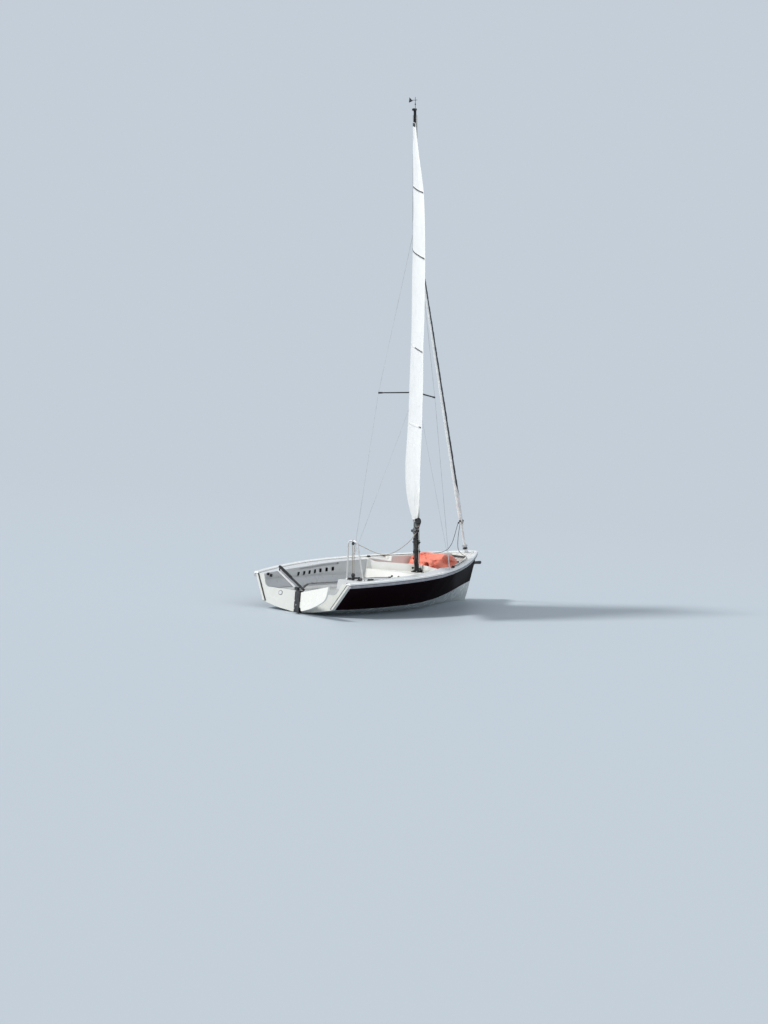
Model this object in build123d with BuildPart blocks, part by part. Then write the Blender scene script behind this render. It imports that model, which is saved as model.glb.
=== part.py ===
from build123d import *
from math import cos, hypot, radians, sin
import os

# A sailing dinghy with an open transom, in millimetres.
# +X points forward, +Y to port, +Z up. The origin is on the waterline at the foot of the transom.

# Hull
STEM_FOOT_X = 4540.0
TRANSOM_LEAN = 0.20
STEM_LEAN = 0.235
HALF_BEAM = 940.0
HALF_BEAM_TRANSOM = 717.0
HALF_BEAM_STEM = 50.0
WIDEST_SHARE = 0.38
BOW_FULLNESS = 1.53
SHEER_STERN = 431.0
SHEER_MIDDLE = 555.0
SHEER_BOW = 690.0
CHINE_STERN = 92.0
CHINE_BOW = 280.0
CHINE_RISE_POWER = 1.8
CHINE_SHARE = 0.74
CHINE_SHARE_BOW = 0.50
KEEL_DEPTH = 135.0
BILGE_SHARE = 0.55
BILGE_RISE = 0.42
SKIN = 22.0
SEAM = 0.3
# Share of the waterline length at each section of the hull
STATION_SHARES = (0.0, 0.06, 0.14, 0.24, 0.34, 0.44, 0.54, 0.62, 0.70, 0.78, 0.85, 0.91, 0.96, 1.0)

# Transom
TRANSOM_THICKNESS = 30.0
CUTOUT_TOP_HALF = 590.0
CUTOUT_BOTTOM_HALF = 530.0
CUTOUT_BOTTOM_Z = 276.0
CUTOUT_RADIUS = 70.0
RIM_WIDTH = 34.0
RIM_DEPTH = 16.0
RIM_INSET = 5.0
BUNG_RADIUS = 24.0
BUNG_Y = 290.0
BUNG_Z = 222.0
BUNG_PROUD = 5.0

# Gunwale and rubbing strake
GUNWALE_OUT = 14.0
GUNWALE_IN = 46.0
GUNWALE_HEIGHT = 22.0
GUNWALE_OVERHANG = 26.0
STRAKE_GROOVE = 12.0
STRAKE_HEIGHT = 34.0
STRAKE_DEPTH = 20.0
STEM_CAP_LENGTH = 36.0

# Cockpit
SIDE_DECK = 235.0
SIDE_DECK_STERN = 128.0
SOLE_Z = 240.0
FACE_INSET = 34.0
THWART_END_SHARE = 0.71
FOREDECK_END_SHARE = 0.985
THWART_Z = 440.0
SLOT_COUNT = 7
SLOT_FIRST_X = 1050.0
SLOT_PITCH = 148.0
SLOT_WIDTH = 62.0
SLOT_HEIGHT = 56.0
SLOT_DEPTH = 22.0
SLOT_DROP = 62.0
LEDGE_START_SHARE = 0.212
LEDGE_END_SHARE = 0.432
LEDGE_DROP = 12.0
LEDGE_HEIGHT = 24.0
LEDGE_DEPTH = 20.0
LEDGE_WIDTH = 40.0
FACE_BEND_HIGH = 150.0
FACE_BEND_LOW = 112.0
THWART_FACE_INSET = 12.0

# Centreboard and its case
BOARD_THICKNESS = 22.0
BOARD_PLAY = 6.0
BOARD_PIVOT_X = 2440.0
BOARD_PIVOT_Z = -40.0
BOARD_LENGTH = 900.0
BOARD_LEADING = 58.0
BOARD_TRAILING = 222.0
BOARD_PIN_RADIUS = 8.0
PIN_PLAY = 0.1
BOARD_SLOT_END_PLAY = 14.0
CASE_TOP_Z = 376.0
CASE_HALF_WIDTH = 180.0
CASE_TAPER = 18.0
CASE_EDGE_RADIUS = 12.0
CASE_AFT_X = BOARD_PIVOT_X - BOARD_LENGTH - BOARD_SLOT_END_PLAY - 296.0
BULKHEAD_SHARE = (BOARD_PIVOT_X + 84.0) / STEM_FOOT_X

# Foredeck well with the stowed gennaker
CAMBER = 22.0
WELL_FORE_SHARE = 0.905
WELL_SIDE = 130.0
WELL_FLARE = 300.0
WELL_FLOOR_Z = 340.0
NET_AFT_SHARE = 0.862
NET_THICKNESS = 4.0
NET_DROP = 14.0
HEAP_ROOM = 8.0
# Rows of the gennaker's heap: hull share, share of the well's width, height of its shoulders, of its crown
HEAP_ROWS = ((0.700, 0.52, 500.0, 590.0), (0.725, 0.84, 585.0, 668.0),
             (0.765, 0.92, 600.0, 684.0), (0.797, 0.76, 540.0, 615.0))

# Bowsprit
SPRIT_Z = 536.0
SPRIT_RADIUS = 22.0
SPRIT_AFT_X = STEM_FOOT_X - 1120.0
SPRIT_TIP_X = STEM_FOOT_X + 385.0
SPRIT_PLAY = 0.3
COLLAR_RADIUS = 31.0
COLLAR_AFT_X = STEM_FOOT_X - 300.0
COLLAR_FORE_X = STEM_FOOT_X + 172.0

# Mast and standing rigging, heights measured up the mast from its foot
MAST_RAKE = 10.2
MAST_FOOT_X = 0.67 * STEM_FOOT_X
RIDGE_APEX_X = MAST_FOOT_X + 120.0
RIDGE_SWEEP = 0.82
RIDGE_THICKNESS = 40.0
RIDGE_TOP_Z = 540.0
RIDGE_TOP_HALF = 520.0
RIDGE_RISE = 100.0
STEP_THICKNESS = 26.0
STEP_LENGTH = 150.0
STEP_WIDTH = 92.0
MAST_RADIUS = 32.0
MAST_TOP_RADIUS = 18.0
MAST_LENGTH = 6280.0
MASTHEAD_LENGTH = 92.0
MASTHEAD_WIDTH = 38.0
MASTHEAD_HEIGHT = 26.0
MASTHEAD_BACK = 14.0
VANE_ROD_RADIUS = 3.0
VANE_ROD_HEIGHT = 150.0
VANE_HEIGHT = 110.0
VANE_BACK = 120.0
VANE_AHEAD = 60.0
VANE_HALF_HEIGHT = 34.0
HOUNDS_HEIGHT = 4650.0
SPREADER_HEIGHT = 2490.0
SPREADER_REACH = 438.0
SPREADER_SWEEP = 256.0
SPREADER_THICKNESS = 14.0
SPREADER_ROOT_FRONT = 16.0
SPREADER_ROOT_BACK = 30.0
SPREADER_TIP_HALF = 7.0
SHROUD_RADIUS = 3.0
CHAINPLATE_X = MAST_FOOT_X - 461.0
CHAINPLATE_INSET = 70.0
CHAINPLATE_HEIGHT = 46.0
CHAINPLATE_THICKNESS = 5.0
CHAINPLATE_FOOT = (62.0, 30.0)
CHAINPLATE_LIFT = 3.0
FORESTAY_FOOT_X = STEM_FOOT_X - 110.0
FURLER_DRUM_RADIUS = 40.0
FURLER_DRUM_HEIGHT = 74.0
FURLER_FLANGE = 6.0
FURLER_STEM_RADIUS = 7.0
FORESTAY_RADIUS = 4.0
FORESTAY_SLEEVE_RADIUS = 6.0
BOW_PLATE_LENGTH = 130.0
BOW_PLATE_THICKNESS = 5.0
BOW_PLATE_WIDTH = 26.0
BOW_LUG_THICKNESS = 6.0
BOW_LUG_HEIGHT = 26.0
PAINTER_EYE_AHEAD = 52.0
PAINTER_EYE_HEIGHT = 19.0
PAINTER_EYE_WALL = 11.0
PAINTER_EYE_RADIUS = 7.0
JIB_RADIUS = 27.0
JIB_TOP_RADIUS = 17.0
JIB_START = 330.0
JIB_END_GAP = 300.0

# Boom and mainsail
SWING_OFFSET = 49.0
GOOSENECK_HEIGHT = 560.0
GOOSENECK_PIN_RADIUS = 5.0
GOOSENECK_GAP = 1.0
GOOSENECK_HALF = 30.0
LUG_RADIUS = 11.0
LUG_THICKNESS = 6.0
BOOM_ANGLE = 30.0
BOOM_RISE = 6.5
BOOM_LENGTH = 2420.0
BOOM_HALF_WIDTH = 33.0
BOOM_HALF_HEIGHT = 44.0
BOOM_NOSE = 46.0
BOOM_CAP_LENGTH = 14.0
KICKER_HEIGHT = 110.0
KICKER_BRACKET_HALF = 14.0
KICKER_EYE_HALF = 10.0
KICKER_ON_BOOM = 640.0
KICKER_RADIUS = 9.0
KICKER_TANG = 32.0
SAIL_THICKNESS = 4.0
SAIL_TACK_HEIGHT = 690.0
SAIL_HEAD_HEIGHT = 6130.0
SAIL_FOOT = 2330.0
SAIL_HEAD_CHORD = 130.0
SAIL_ROACH = 280.0
SAIL_DROOP = -0.17
SAIL_LEVEL_SHARE = 0.5

# Rudder
RUDDER_AXIS_X = -46.0
TILLER_ANGLE = 58.0
PINTLE_RADIUS = 5.0
GUDGEON_RADIUS = 13.0
GUDGEON_HEIGHT = 26.0
GUDGEON_LOW_Z = 62.0
GUDGEON_HIGH_Z = 214.0
STOCK_BOTTOM_Z = 14.0
STOCK_HEAD_Z = 296.0
CHEEK_THICKNESS = 8.0
BLADE_THICKNESS = 24.0
BLADE_PLAY = 5.0
BLADE_PIVOT_BACK = 76.0
BLADE_PIVOT_Z = 112.0
BLADE_RAISE = 10.0
BLADE_ROOT_RADIUS = 42.0
BLADE_PIN_RADIUS = 7.0
BLADE_LENGTH = 873.0
BLADE_NECK = 96.0
BLADE_TRAILING = 150.0
BLADE_LEADING = 88.0
BLADE_HEEL = 30.0
STOCK_CHEEK_LENGTH = 140.0
STOCK_WEB = 10.0
STOCK_HEAD_LENGTH = 84.0
STOCK_HEAD_HEIGHT = 36.0
STOCK_CROWN = 120.0
STOCK_CROWN_BOTTOM = 148.0
PINTLE_LUG_HEIGHT = 14.0
TILLER_RADIUS = 12.5
TILLER_LENGTH = 620.0
TILLER_RISE = 16.0
TILLER_ROOT_Z = 312.0
EXTENSION_RADIUS = 16.0
EXTENSION_LIFT = 66.0
EXTENSION_BACK = 200.0
EXTENSION_JOINT_RADIUS = 9.0
EXTENSION_JOINT_BACK = 40.0

# Mainsheet hoop and fittings
HOOP_X = CASE_AFT_X + 170.0
HOOP_HALF_FOOT = 126.0
HOOP_HALF_TOP = 68.0
HOOP_TOP_Z = 898.0
HOOP_LEAN = 150.0
HOOP_TUBE_RADIUS = 11.0
HOOP_BEND_RADIUS = 52.0
HOOP_FLANGE_RADIUS = 22.0
HOOP_FLANGE_THICKNESS = 6.0
STRAP_WIDTH = 44.0
STRAP_THICKNESS = 4.0
STRAP_Y = 330.0
STRAP_AFT_X = 520.0
STRAP_FORE_X = BOARD_PIVOT_X + 40.0
STRAP_LIFT = 70.0
STRAP_END = 60.0
STRAP_RAMP = 200.0
BLOCK_X = CASE_AFT_X + 105.0
BLOCK_RADIUS = 28.0
BLOCK_HEIGHT = 66.0
BLOCK_THICKNESS = 24.0
BLOCK_FOOT_RADIUS = 20.0


def between(rule, share):
    """A hull rule is straight between two stations, as the ruled skins are."""
    share = min(max(share, STATION_SHARES[0] - 0.01), STATION_SHARES[-1])
    pairs = list(zip(STATION_SHARES, STATION_SHARES[1:]))
    low, high = next((pair for pair in pairs if share <= pair[1]), pairs[-1])
    part = (share - low) / (high - low)
    return rule(low) * (1 - part) + rule(high) * part


def half_beam_rule(share):
    if share < WIDEST_SHARE:
        back = (WIDEST_SHARE - share) / WIDEST_SHARE
        return HALF_BEAM - (HALF_BEAM - HALF_BEAM_TRANSOM) * back ** 2
    ahead = (share - WIDEST_SHARE) / (1 - WIDEST_SHARE)
    return HALF_BEAM_STEM + (HALF_BEAM - HALF_BEAM_STEM) * (1 - ahead ** BOW_FULLNESS)


def sheer_rule(share):
    stern = SHEER_STERN * (1 - share) * (1 - 2 * share)
    return stern + SHEER_MIDDLE * 4 * share * (1 - share) + SHEER_BOW * share * (2 * share - 1)


def chine_share_rule(share):
    forward = max(0.0, (share - WIDEST_SHARE) / (1 - WIDEST_SHARE))
    return CHINE_SHARE - (CHINE_SHARE - CHINE_SHARE_BOW) * forward ** 2


def chine_y_rule(share):
    return half_beam_rule(share) * chine_share_rule(share)


def chine_z_rule(share):
    return CHINE_STERN + (CHINE_BOW - CHINE_STERN) * share ** CHINE_RISE_POWER


def keel_rule(share):
    return -KEEL_DEPTH * 4 * share * (1 - share)


def half_beam(share):
    return between(half_beam_rule, share)


def sheer(share):
    return between(sheer_rule, share)


def chine_y(share):
    return between(chine_y_rule, share)


def chine_z(share):
    return between(chine_z_rule, share)


def keel(share):
    return between(keel_rule, share)


def skin_rule(share):
    """Thickness of a topside: the two skins meet on the centreline at the stem."""
    return half_beam_rule(share) - SEAM / 2 if share >= 1.0 else SKIN


def side_y(share, z):
    """Half breadth of the topside's outer face at a height."""
    rise = (z - chine_z(share)) / (sheer(share) - chine_z(share))
    return chine_y(share) + (half_beam(share) - chine_y(share)) * rise


def inner_y(share, z):
    """Half breadth of the topside's inner face at a height."""
    rise = (z - chine_z(share)) / (sheer(share) - chine_z(share))
    at_chine = between(lambda s: chine_y_rule(s) - (SKIN if s < 1.0 else chine_y_rule(s) - SEAM), share)
    at_sheer = between(lambda s: half_beam_rule(s) - skin_rule(s), share)
    return at_chine + (at_sheer - at_chine) * rise


def deck_width(share):
    part = min(1.0, share / STATION_SHARES[3])
    return SIDE_DECK_STERN + (SIDE_DECK - SIDE_DECK_STERN) * part


def face_y(share):
    """Half breadth of the cockpit at the side deck's inner edge."""
    return between(lambda s: half_beam_rule(s) - deck_width(s), share)


def lean(share):
    return TRANSOM_LEAN + (STEM_LEAN - TRANSOM_LEAN) * share


def share_at(x, z):
    return (x - TRANSOM_LEAN * z) / (STEM_FOOT_X + (STEM_LEAN - TRANSOM_LEAN) * z)


def section_plane(share):
    slope = lean(share)
    return Plane(origin=(STEM_FOOT_X * share, 0, 0), x_dir=(0, 1, 0), z_dir=(1, 0, -slope))


def on_section(share, points):
    """Heights are measured straight up, so they stretch along a leaning section."""
    stretch = hypot(1.0, lean(share))
    return [(y, z * stretch) for y, z in points]


def shares(start, end):
    return [start] + [s for s in STATION_SHARES if start + 0.002 < s < end - 0.002] + [end]


def hull_loft(outline, start, end):
    """A ruled solid through the outline at every station from start to end."""
    with BuildPart() as piece:
        for share in shares(start, end):
            with BuildSketch(section_plane(share)):
                with BuildLine():
                    Polyline(*on_section(share, outline(share)), close=True)
                make_face()
        loft(ruled=True)
    return piece.part


def mirrored(points, side):
    return [(y * side, z) for y, z in points]


def bar(start, end, radius, end_radius=None):
    """A round bar or a cone from one point to another."""
    start, end = Vector(*start), Vector(*end)
    along = end - start
    with BuildPart() as piece:
        with BuildSketch(Plane(origin=start, z_dir=along)):
            Circle(radius)
        if end_radius is not None:
            with BuildSketch(Plane(origin=end, z_dir=along)):
                Circle(end_radius)
            loft()
        else:
            extrude(amount=along.length)
    return piece.part


def write(part, name):
    part.label = name
    export_step(part, f"parts/{name}.step")


os.makedirs("parts", exist_ok=True)
SIDES = (("port", 1), ("starboard", -1))
START_SHARE = (TRANSOM_THICKNESS + SEAM) / STEM_FOOT_X * 1.02
SEAM_SHARE = SEAM / STEM_FOOT_X


# Centreboard slot, cut through the bottom, the sole and the case
SLOT_HALF = BOARD_THICKNESS / 2 + BOARD_PLAY
BOARD_SLOT_AFT = BOARD_PIVOT_X - BOARD_LENGTH - BOARD_SLOT_END_PLAY
BOARD_SLOT_FORE = BOARD_PIVOT_X + BOARD_LEADING + BOARD_SLOT_END_PLAY


def board_slot(low, high):
    with BuildPart() as piece:
        with BuildSketch(Plane.XY.offset(low)):
            with Locations(((BOARD_SLOT_AFT + BOARD_SLOT_FORE) / 2, 0)):
                Rectangle(BOARD_SLOT_FORE - BOARD_SLOT_AFT, 2 * SLOT_HALF)
        extrude(amount=high - low)
    return piece.part


# Hull bottom
def bottom_outline(share):
    rise = chine_z(share) - keel(share)
    bilge = (chine_y(share) * BILGE_SHARE, keel(share) + rise * BILGE_RISE)
    corner = (chine_y(share), chine_z(share))
    return [(-corner[0], corner[1]), (-bilge[0], bilge[1]), (0, keel(share)), bilge, corner]


bottom_body = hull_loft(bottom_outline, START_SHARE, 1.0)
bottom_slot = board_slot(-2 * KEEL_DEPTH, SOLE_Z)
with BuildPart() as hull_bottom:
    add(bottom_body)
    add(bottom_slot, mode=Mode.SUBTRACT)
write(hull_bottom.part, "hull_bottom")


# Topsides
def topside_outline(share):
    low, top = chine_z(share) + SEAM, sheer(share)
    return [(side_y(share, low), low), (side_y(share, top), top), (inner_y(share, top), top),
            (inner_y(share, low), low)]


collar_room = bar((COLLAR_AFT_X - SEAM, 0, SPRIT_Z), (COLLAR_FORE_X + SKIN, 0, SPRIT_Z), COLLAR_RADIUS + SEAM)
sprit_room = bar((SPRIT_AFT_X, 0, SPRIT_Z), (COLLAR_AFT_X, 0, SPRIT_Z), COLLAR_RADIUS + SEAM)
for name, side in SIDES:
    skin = hull_loft(lambda share: mirrored(topside_outline(share), side), START_SHARE, 1.0)
    with BuildPart() as topside:
        add(skin)
        add(collar_room, mode=Mode.SUBTRACT)
    write(topside.part, f"topside_{name}")


# Transom with its wide cut-out
def transom_outline(share):
    half = [(0, keel(share)), (chine_y(share) * BILGE_SHARE,
            keel(share) + (chine_z(share) - keel(share)) * BILGE_RISE),
            (chine_y(share), chine_z(share)), (half_beam(share), sheer(share))]
    return half + [(-y, z) for y, z in reversed(half[1:])]


transom_body = hull_loft(transom_outline, 0.0, START_SHARE - SEAM_SHARE)
with BuildPart() as transom:
    add(transom_body)
    with BuildSketch(section_plane(0.0).offset(-TRANSOM_THICKNESS)):
        with BuildLine():
            Polyline(*on_section(0.0, [
                (-CUTOUT_TOP_HALF - 60, SHEER_STERN * 1.5), (-CUTOUT_TOP_HALF, SHEER_STERN),
                (-CUTOUT_BOTTOM_HALF, CUTOUT_BOTTOM_Z), (CUTOUT_BOTTOM_HALF, CUTOUT_BOTTOM_Z),
                (CUTOUT_TOP_HALF, SHEER_STERN), (CUTOUT_TOP_HALF + 60, SHEER_STERN * 1.5)]), close=True)
        make_face()
        fillet(vertices().group_by(Axis.Z)[0], CUTOUT_RADIUS)
    extrude(amount=3 * TRANSOM_THICKNESS, mode=Mode.SUBTRACT)
    with BuildSketch(section_plane(0.0)):
        with Locations(*on_section(0.0, [(BUNG_Y, BUNG_Z), (-BUNG_Y, BUNG_Z)])):
            Circle(BUNG_RADIUS + SEAM)
    extrude(amount=TRANSOM_THICKNESS / 2, mode=Mode.SUBTRACT)
    # A rim stands aft of the panel along each side
    for name, side in SIDES:
        with BuildSketch(section_plane(0.0)):
            with BuildLine():
                low, top = chine_z(0) + RIM_INSET, sheer(0) - 2 * RIM_INSET
                Polyline(*on_section(0.0, mirrored([
                    (side_y(0, low) - RIM_INSET, low), (side_y(0, top) - RIM_INSET, top),
                    (side_y(0, top) - RIM_WIDTH, top), (side_y(0, low) - RIM_WIDTH, low)], side)), close=True)
            make_face()
        extrude(amount=-RIM_DEPTH)
write(transom.part, "transom")

# Drain bungs in the transom
with BuildPart() as transom_bungs:
    with BuildSketch(section_plane(0.0).offset(-BUNG_PROUD)):
        with Locations(*on_section(0.0, [(BUNG_Y, BUNG_Z), (-BUNG_Y, BUNG_Z)])):
            Circle(BUNG_RADIUS)
    extrude(amount=TRANSOM_THICKNESS / 2 + BUNG_PROUD - SEAM)
write(transom_bungs.part, "transom_bungs")


# Gunwales and rubbing strakes
def gunwale_outline(share):
    edge, low = half_beam(share), sheer(share) + SEAM
    return [(edge + GUNWALE_OUT, low - 6), (edge + GUNWALE_OUT, low + GUNWALE_HEIGHT * 0.55),
            (edge + GUNWALE_OUT * 0.3, low + GUNWALE_HEIGHT), (edge - GUNWALE_IN * 0.6, low + GUNWALE_HEIGHT),
            (edge - GUNWALE_IN, low + GUNWALE_HEIGHT * 0.5), (edge - GUNWALE_IN, low),
            (edge + SEAM, low), (edge + SEAM, low - 6)]


def strake_outline(share):
    top = sheer(share) - STRAKE_GROOVE
    low = top - STRAKE_HEIGHT
    outer = half_beam(share) + GUNWALE_OUT + 4
    return [(side_y(share, top) + SEAM, top), (outer - 5, top), (outer, top - 8), (outer - 2, low + 8),
            (outer - 9, low), (side_y(share, low) + SEAM, low)]


STERN_SHARE = -GUNWALE_OVERHANG / STEM_FOOT_X
for name, side in SIDES:
    gunwale = hull_loft(lambda share: mirrored(gunwale_outline(share), side), STERN_SHARE, 1.0)
    write(gunwale, f"gunwale_{name}")
    strake = hull_loft(lambda share: mirrored(strake_outline(share), side), STERN_SHARE * 0.6, 1.0)
    write(strake, f"rubbing_strake_{name}")

# Rounded cap that joins the gunwales at the bow
bow_half = HALF_BEAM_STEM + GUNWALE_OUT
bow_x = STEM_FOOT_X + STEM_LEAN * SHEER_BOW
with BuildPart() as stem_cap:
    with BuildSketch(Plane.XY.offset(SHEER_BOW - 6)):
        with BuildLine():
            ThreePointArc((bow_x + 6, bow_half), (bow_x + STEM_CAP_LENGTH, 0), (bow_x + 6, -bow_half))
            Line((bow_x + 6, -bow_half), (bow_x + 6, bow_half))
        make_face()
    extrude(amount=GUNWALE_HEIGHT + 6)
    fillet(stem_cap.faces().sort_by(Axis.Z)[-1].edges().filter_by(GeomType.CIRCLE), GUNWALE_HEIGHT * 0.3)
write(stem_cap.part, "stem_cap")


# Side tanks with the row of slots and the ledge above it
def tank_outline(share):
    low, top = SOLE_Z + SEAM, sheer(share)
    inset = face_y(share)
    return [(inner_y(share, low) - SEAM, low), (inner_y(share, top) - SEAM, top), (inset, top),
            (inset, SOLE_Z + FACE_BEND_HIGH), (inset + FACE_INSET * 0.5, SOLE_Z + FACE_BEND_LOW),
            (inset - FACE_INSET, low)]


def ledge_outline(share):
    top = sheer(share) - LEDGE_DROP
    inset = face_y(share)
    return [(inset - LEDGE_WIDTH, top), (inset + LEDGE_DEPTH, top), (inset + LEDGE_DEPTH, top - LEDGE_HEIGHT),
            (inset - LEDGE_WIDTH, top - LEDGE_HEIGHT)]


for name, side in SIDES:
    tank_body = hull_loft(lambda share: mirrored(tank_outline(share), side), START_SHARE, BULKHEAD_SHARE)
    ledge = hull_loft(lambda share: mirrored(ledge_outline(share), side), LEDGE_START_SHARE, LEDGE_END_SHARE)
    slot_places = []
    for number in range(SLOT_COUNT):
        x = SLOT_FIRST_X + SLOT_PITCH * number
        share = share_at(x, SHEER_MIDDLE)
        slot_places.append((x, side * face_y(share), sheer(share) - SLOT_DROP - SLOT_HEIGHT / 2))
    with BuildPart() as side_tank:
        add(tank_body)
        add(ledge, mode=Mode.SUBTRACT)
        with Locations(*slot_places):
            Box(SLOT_WIDTH, 2 * SLOT_DEPTH, SLOT_HEIGHT, mode=Mode.SUBTRACT)
    write(side_tank.part, f"side_tank_{name}")


# Cockpit sole
def sole_outline(share):
    low = chine_z(share) + SEAM
    half = [(inner_y(share, low) - SEAM, low), (inner_y(share, SOLE_Z) - SEAM, SOLE_Z)]
    return half + [(-y, z) for y, z in reversed(half)]


sole_body = hull_loft(sole_outline, START_SHARE, BULKHEAD_SHARE)
sole_slot = board_slot(0, CASE_TOP_Z)
with BuildPart() as cockpit_sole:
    add(sole_body)
    add(sole_slot, mode=Mode.SUBTRACT)
write(cockpit_sole.part, "cockpit_sole")

# Centreboard case, open along its top
case_slot = board_slot(0, 2 * CASE_TOP_Z)
with BuildPart() as centreboard_case:
    with BuildSketch(Plane.YZ.offset(CASE_AFT_X)):
        with BuildLine():
            Polyline((-CASE_HALF_WIDTH, SOLE_Z + SEAM), (-CASE_HALF_WIDTH + CASE_TAPER, CASE_TOP_Z),
                     (CASE_HALF_WIDTH - CASE_TAPER, CASE_TOP_Z), (CASE_HALF_WIDTH, SOLE_Z + SEAM), close=True)
        make_face()
    extrude(amount=STEM_FOOT_X * BULKHEAD_SHARE + CASE_TOP_Z - CASE_AFT_X)
    fillet(centreboard_case.edges().filter_by(Axis.X).group_by(Axis.Z)[-1], CASE_EDGE_RADIUS)
    add(case_slot, mode=Mode.SUBTRACT)
    split(bisect_by=section_plane(BULKHEAD_SHARE), keep=Keep.BOTTOM)
write(centreboard_case.part, "centreboard_case")


def behind_ridge(ahead):
    """Everything behind the swept bulkhead that stands in front of the mast."""
    apex, reach = RIDGE_APEX_X + ahead, 1.2 * HALF_BEAM
    with BuildPart() as piece:
        with BuildSketch(Plane.XY.offset(-2 * KEEL_DEPTH)):
            with BuildLine():
                Polyline((apex, 0), (apex - RIDGE_SWEEP * reach, reach), (0, reach), (0, -reach),
                         (apex - RIDGE_SWEEP * reach, -reach), close=True)
            make_face()
        extrude(amount=2 * SHEER_BOW)
    return piece.part


# Mast thwart, with the side decks carried past it
def thwart_outline(share):
    low, top = chine_z(share) + SEAM, sheer(share)
    outer_low, outer_top = inner_y(share, low) - SEAM, inner_y(share, top) - SEAM
    inset = face_y(share)
    half = [(outer_low, low), (outer_top, top), (inset, top), (inset - THWART_FACE_INSET, THWART_Z)]
    return half + [(-y, z) for y, z in reversed(half)]


thwart_body = hull_loft(thwart_outline, BULKHEAD_SHARE + SEAM_SHARE, THWART_END_SHARE)
thwart_side = behind_ridge(0)
with BuildPart() as mast_thwart:
    add(thwart_body)
    add(thwart_side, mode=Mode.INTERSECT)
write(mast_thwart.part, "mast_thwart")


# Foredeck and its well, which starts at the swept bulkhead
def foredeck_outline(share):
    low, top = chine_z(share) + SEAM, sheer(share)
    outer_low, outer_top = inner_y(share, low) - SEAM, inner_y(share, top) - SEAM
    shoulder = half_beam(share) - GUNWALE_IN - SEAM
    half = [(outer_low, low), (outer_top, top), (shoulder, top)]
    return half + [(0, top + CAMBER)] + [(-y, z) for y, z in reversed(half)]


def well_y(share):
    """Half breadth of the well, whose side decks are wider aft."""
    flare = WELL_FLARE * max(0.0, 1.0 - share / THWART_END_SHARE)
    return half_beam(share) - WELL_SIDE - flare


def well_outline(share):
    half = well_y(share)
    top = SHEER_BOW + 4 * CAMBER
    return [(half, WELL_FLOOR_Z), (half, top), (-half, top), (-half, WELL_FLOOR_Z)]


deck_body = hull_loft(foredeck_outline, BULKHEAD_SHARE + SEAM_SHARE, FOREDECK_END_SHARE)
well_body = hull_loft(well_outline, BULKHEAD_SHARE, WELL_FORE_SHARE)
thwart_room = behind_ridge(SEAM)
ridge = behind_ridge(RIDGE_THICKNESS)
with BuildPart() as well:
    add(well_body)
    add(ridge, mode=Mode.SUBTRACT)
with BuildPart() as foredeck:
    add(deck_body)
    add(well.part, mode=Mode.SUBTRACT)
    add(thwart_room, mode=Mode.SUBTRACT)
    # The ridge is lower than the decks beside it
    with BuildSketch(Plane.YZ.offset(STEM_FOOT_X * BULKHEAD_SHARE)):
        with BuildLine():
            half, wide, top = RIDGE_TOP_HALF, RIDGE_TOP_HALF + 2 * RIDGE_RISE, RIDGE_TOP_Z
            Polyline((-half, top), (-wide, top + RIDGE_RISE), (wide, top + RIDGE_RISE), (half, top),
                     close=True)
        make_face()
    extrude(amount=RIDGE_APEX_X + RIDGE_THICKNESS - STEM_FOOT_X * BULKHEAD_SHARE, mode=Mode.SUBTRACT)
    add(collar_room, mode=Mode.SUBTRACT)
    add(sprit_room, mode=Mode.SUBTRACT)
write(foredeck.part, "foredeck")


# Net across the front of the well
def net_outline(share):
    half = well_y(share) - SEAM
    top = sheer(share) - NET_DROP
    return [(half, top - NET_THICKNESS), (half, top), (-half, top), (-half, top - NET_THICKNESS)]


write(hull_loft(net_outline, NET_AFT_SHARE, WELL_FORE_SHARE - SEAM_SHARE), "well_net")

# Stowed gennaker in the well, one soft heap over the bowsprit
heap_floor = WELL_FLOOR_Z + SEAM
tunnel_top = SPRIT_Z + SPRIT_RADIUS + HEAP_ROOM
tunnel_start = RIDGE_APEX_X
with BuildPart() as stowed_gennaker:
    for share, width_share, shoulder, crown in HEAP_ROWS:
        half_width = well_y(share) * width_share
        with BuildSketch(Plane.YZ.offset(STEM_FOOT_X * share + lean(share) * crown)):
            with BuildLine():
                Polyline((-half_width * 0.85, heap_floor), (-half_width, shoulder),
                         (-half_width * 0.5, crown), (half_width * 0.5, crown),
                         (half_width, shoulder), (half_width * 0.85, heap_floor), close=True)
            make_face()
    loft(ruled=True)
    with BuildSketch(Plane.YZ.offset(tunnel_start)):
        with Locations((0, tunnel_top / 2)):
            Rectangle(2 * (SPRIT_RADIUS + HEAP_ROOM), tunnel_top)
    extrude(amount=STEM_FOOT_X - tunnel_start, mode=Mode.SUBTRACT)
write(stowed_gennaker.part, "stowed_gennaker")

# Bowsprit and the sleeve that it slides in
with BuildPart() as bowsprit_collar:
    add(bar((COLLAR_AFT_X, 0, SPRIT_Z), (COLLAR_FORE_X, 0, SPRIT_Z), COLLAR_RADIUS))
    add(bar((COLLAR_AFT_X - 1, 0, SPRIT_Z), (COLLAR_FORE_X + 1, 0, SPRIT_Z), SPRIT_RADIUS + SPRIT_PLAY),
        mode=Mode.SUBTRACT)
write(bowsprit_collar.part, "bowsprit_collar")
with BuildPart() as bowsprit:
    add(bar((SPRIT_AFT_X, 0, SPRIT_Z), (SPRIT_TIP_X, 0, SPRIT_Z), SPRIT_RADIUS))
    fillet(bowsprit.faces().sort_by(Axis.X)[-1].edges(), SPRIT_RADIUS * 0.4)
write(bowsprit.part, "bowsprit")

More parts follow.
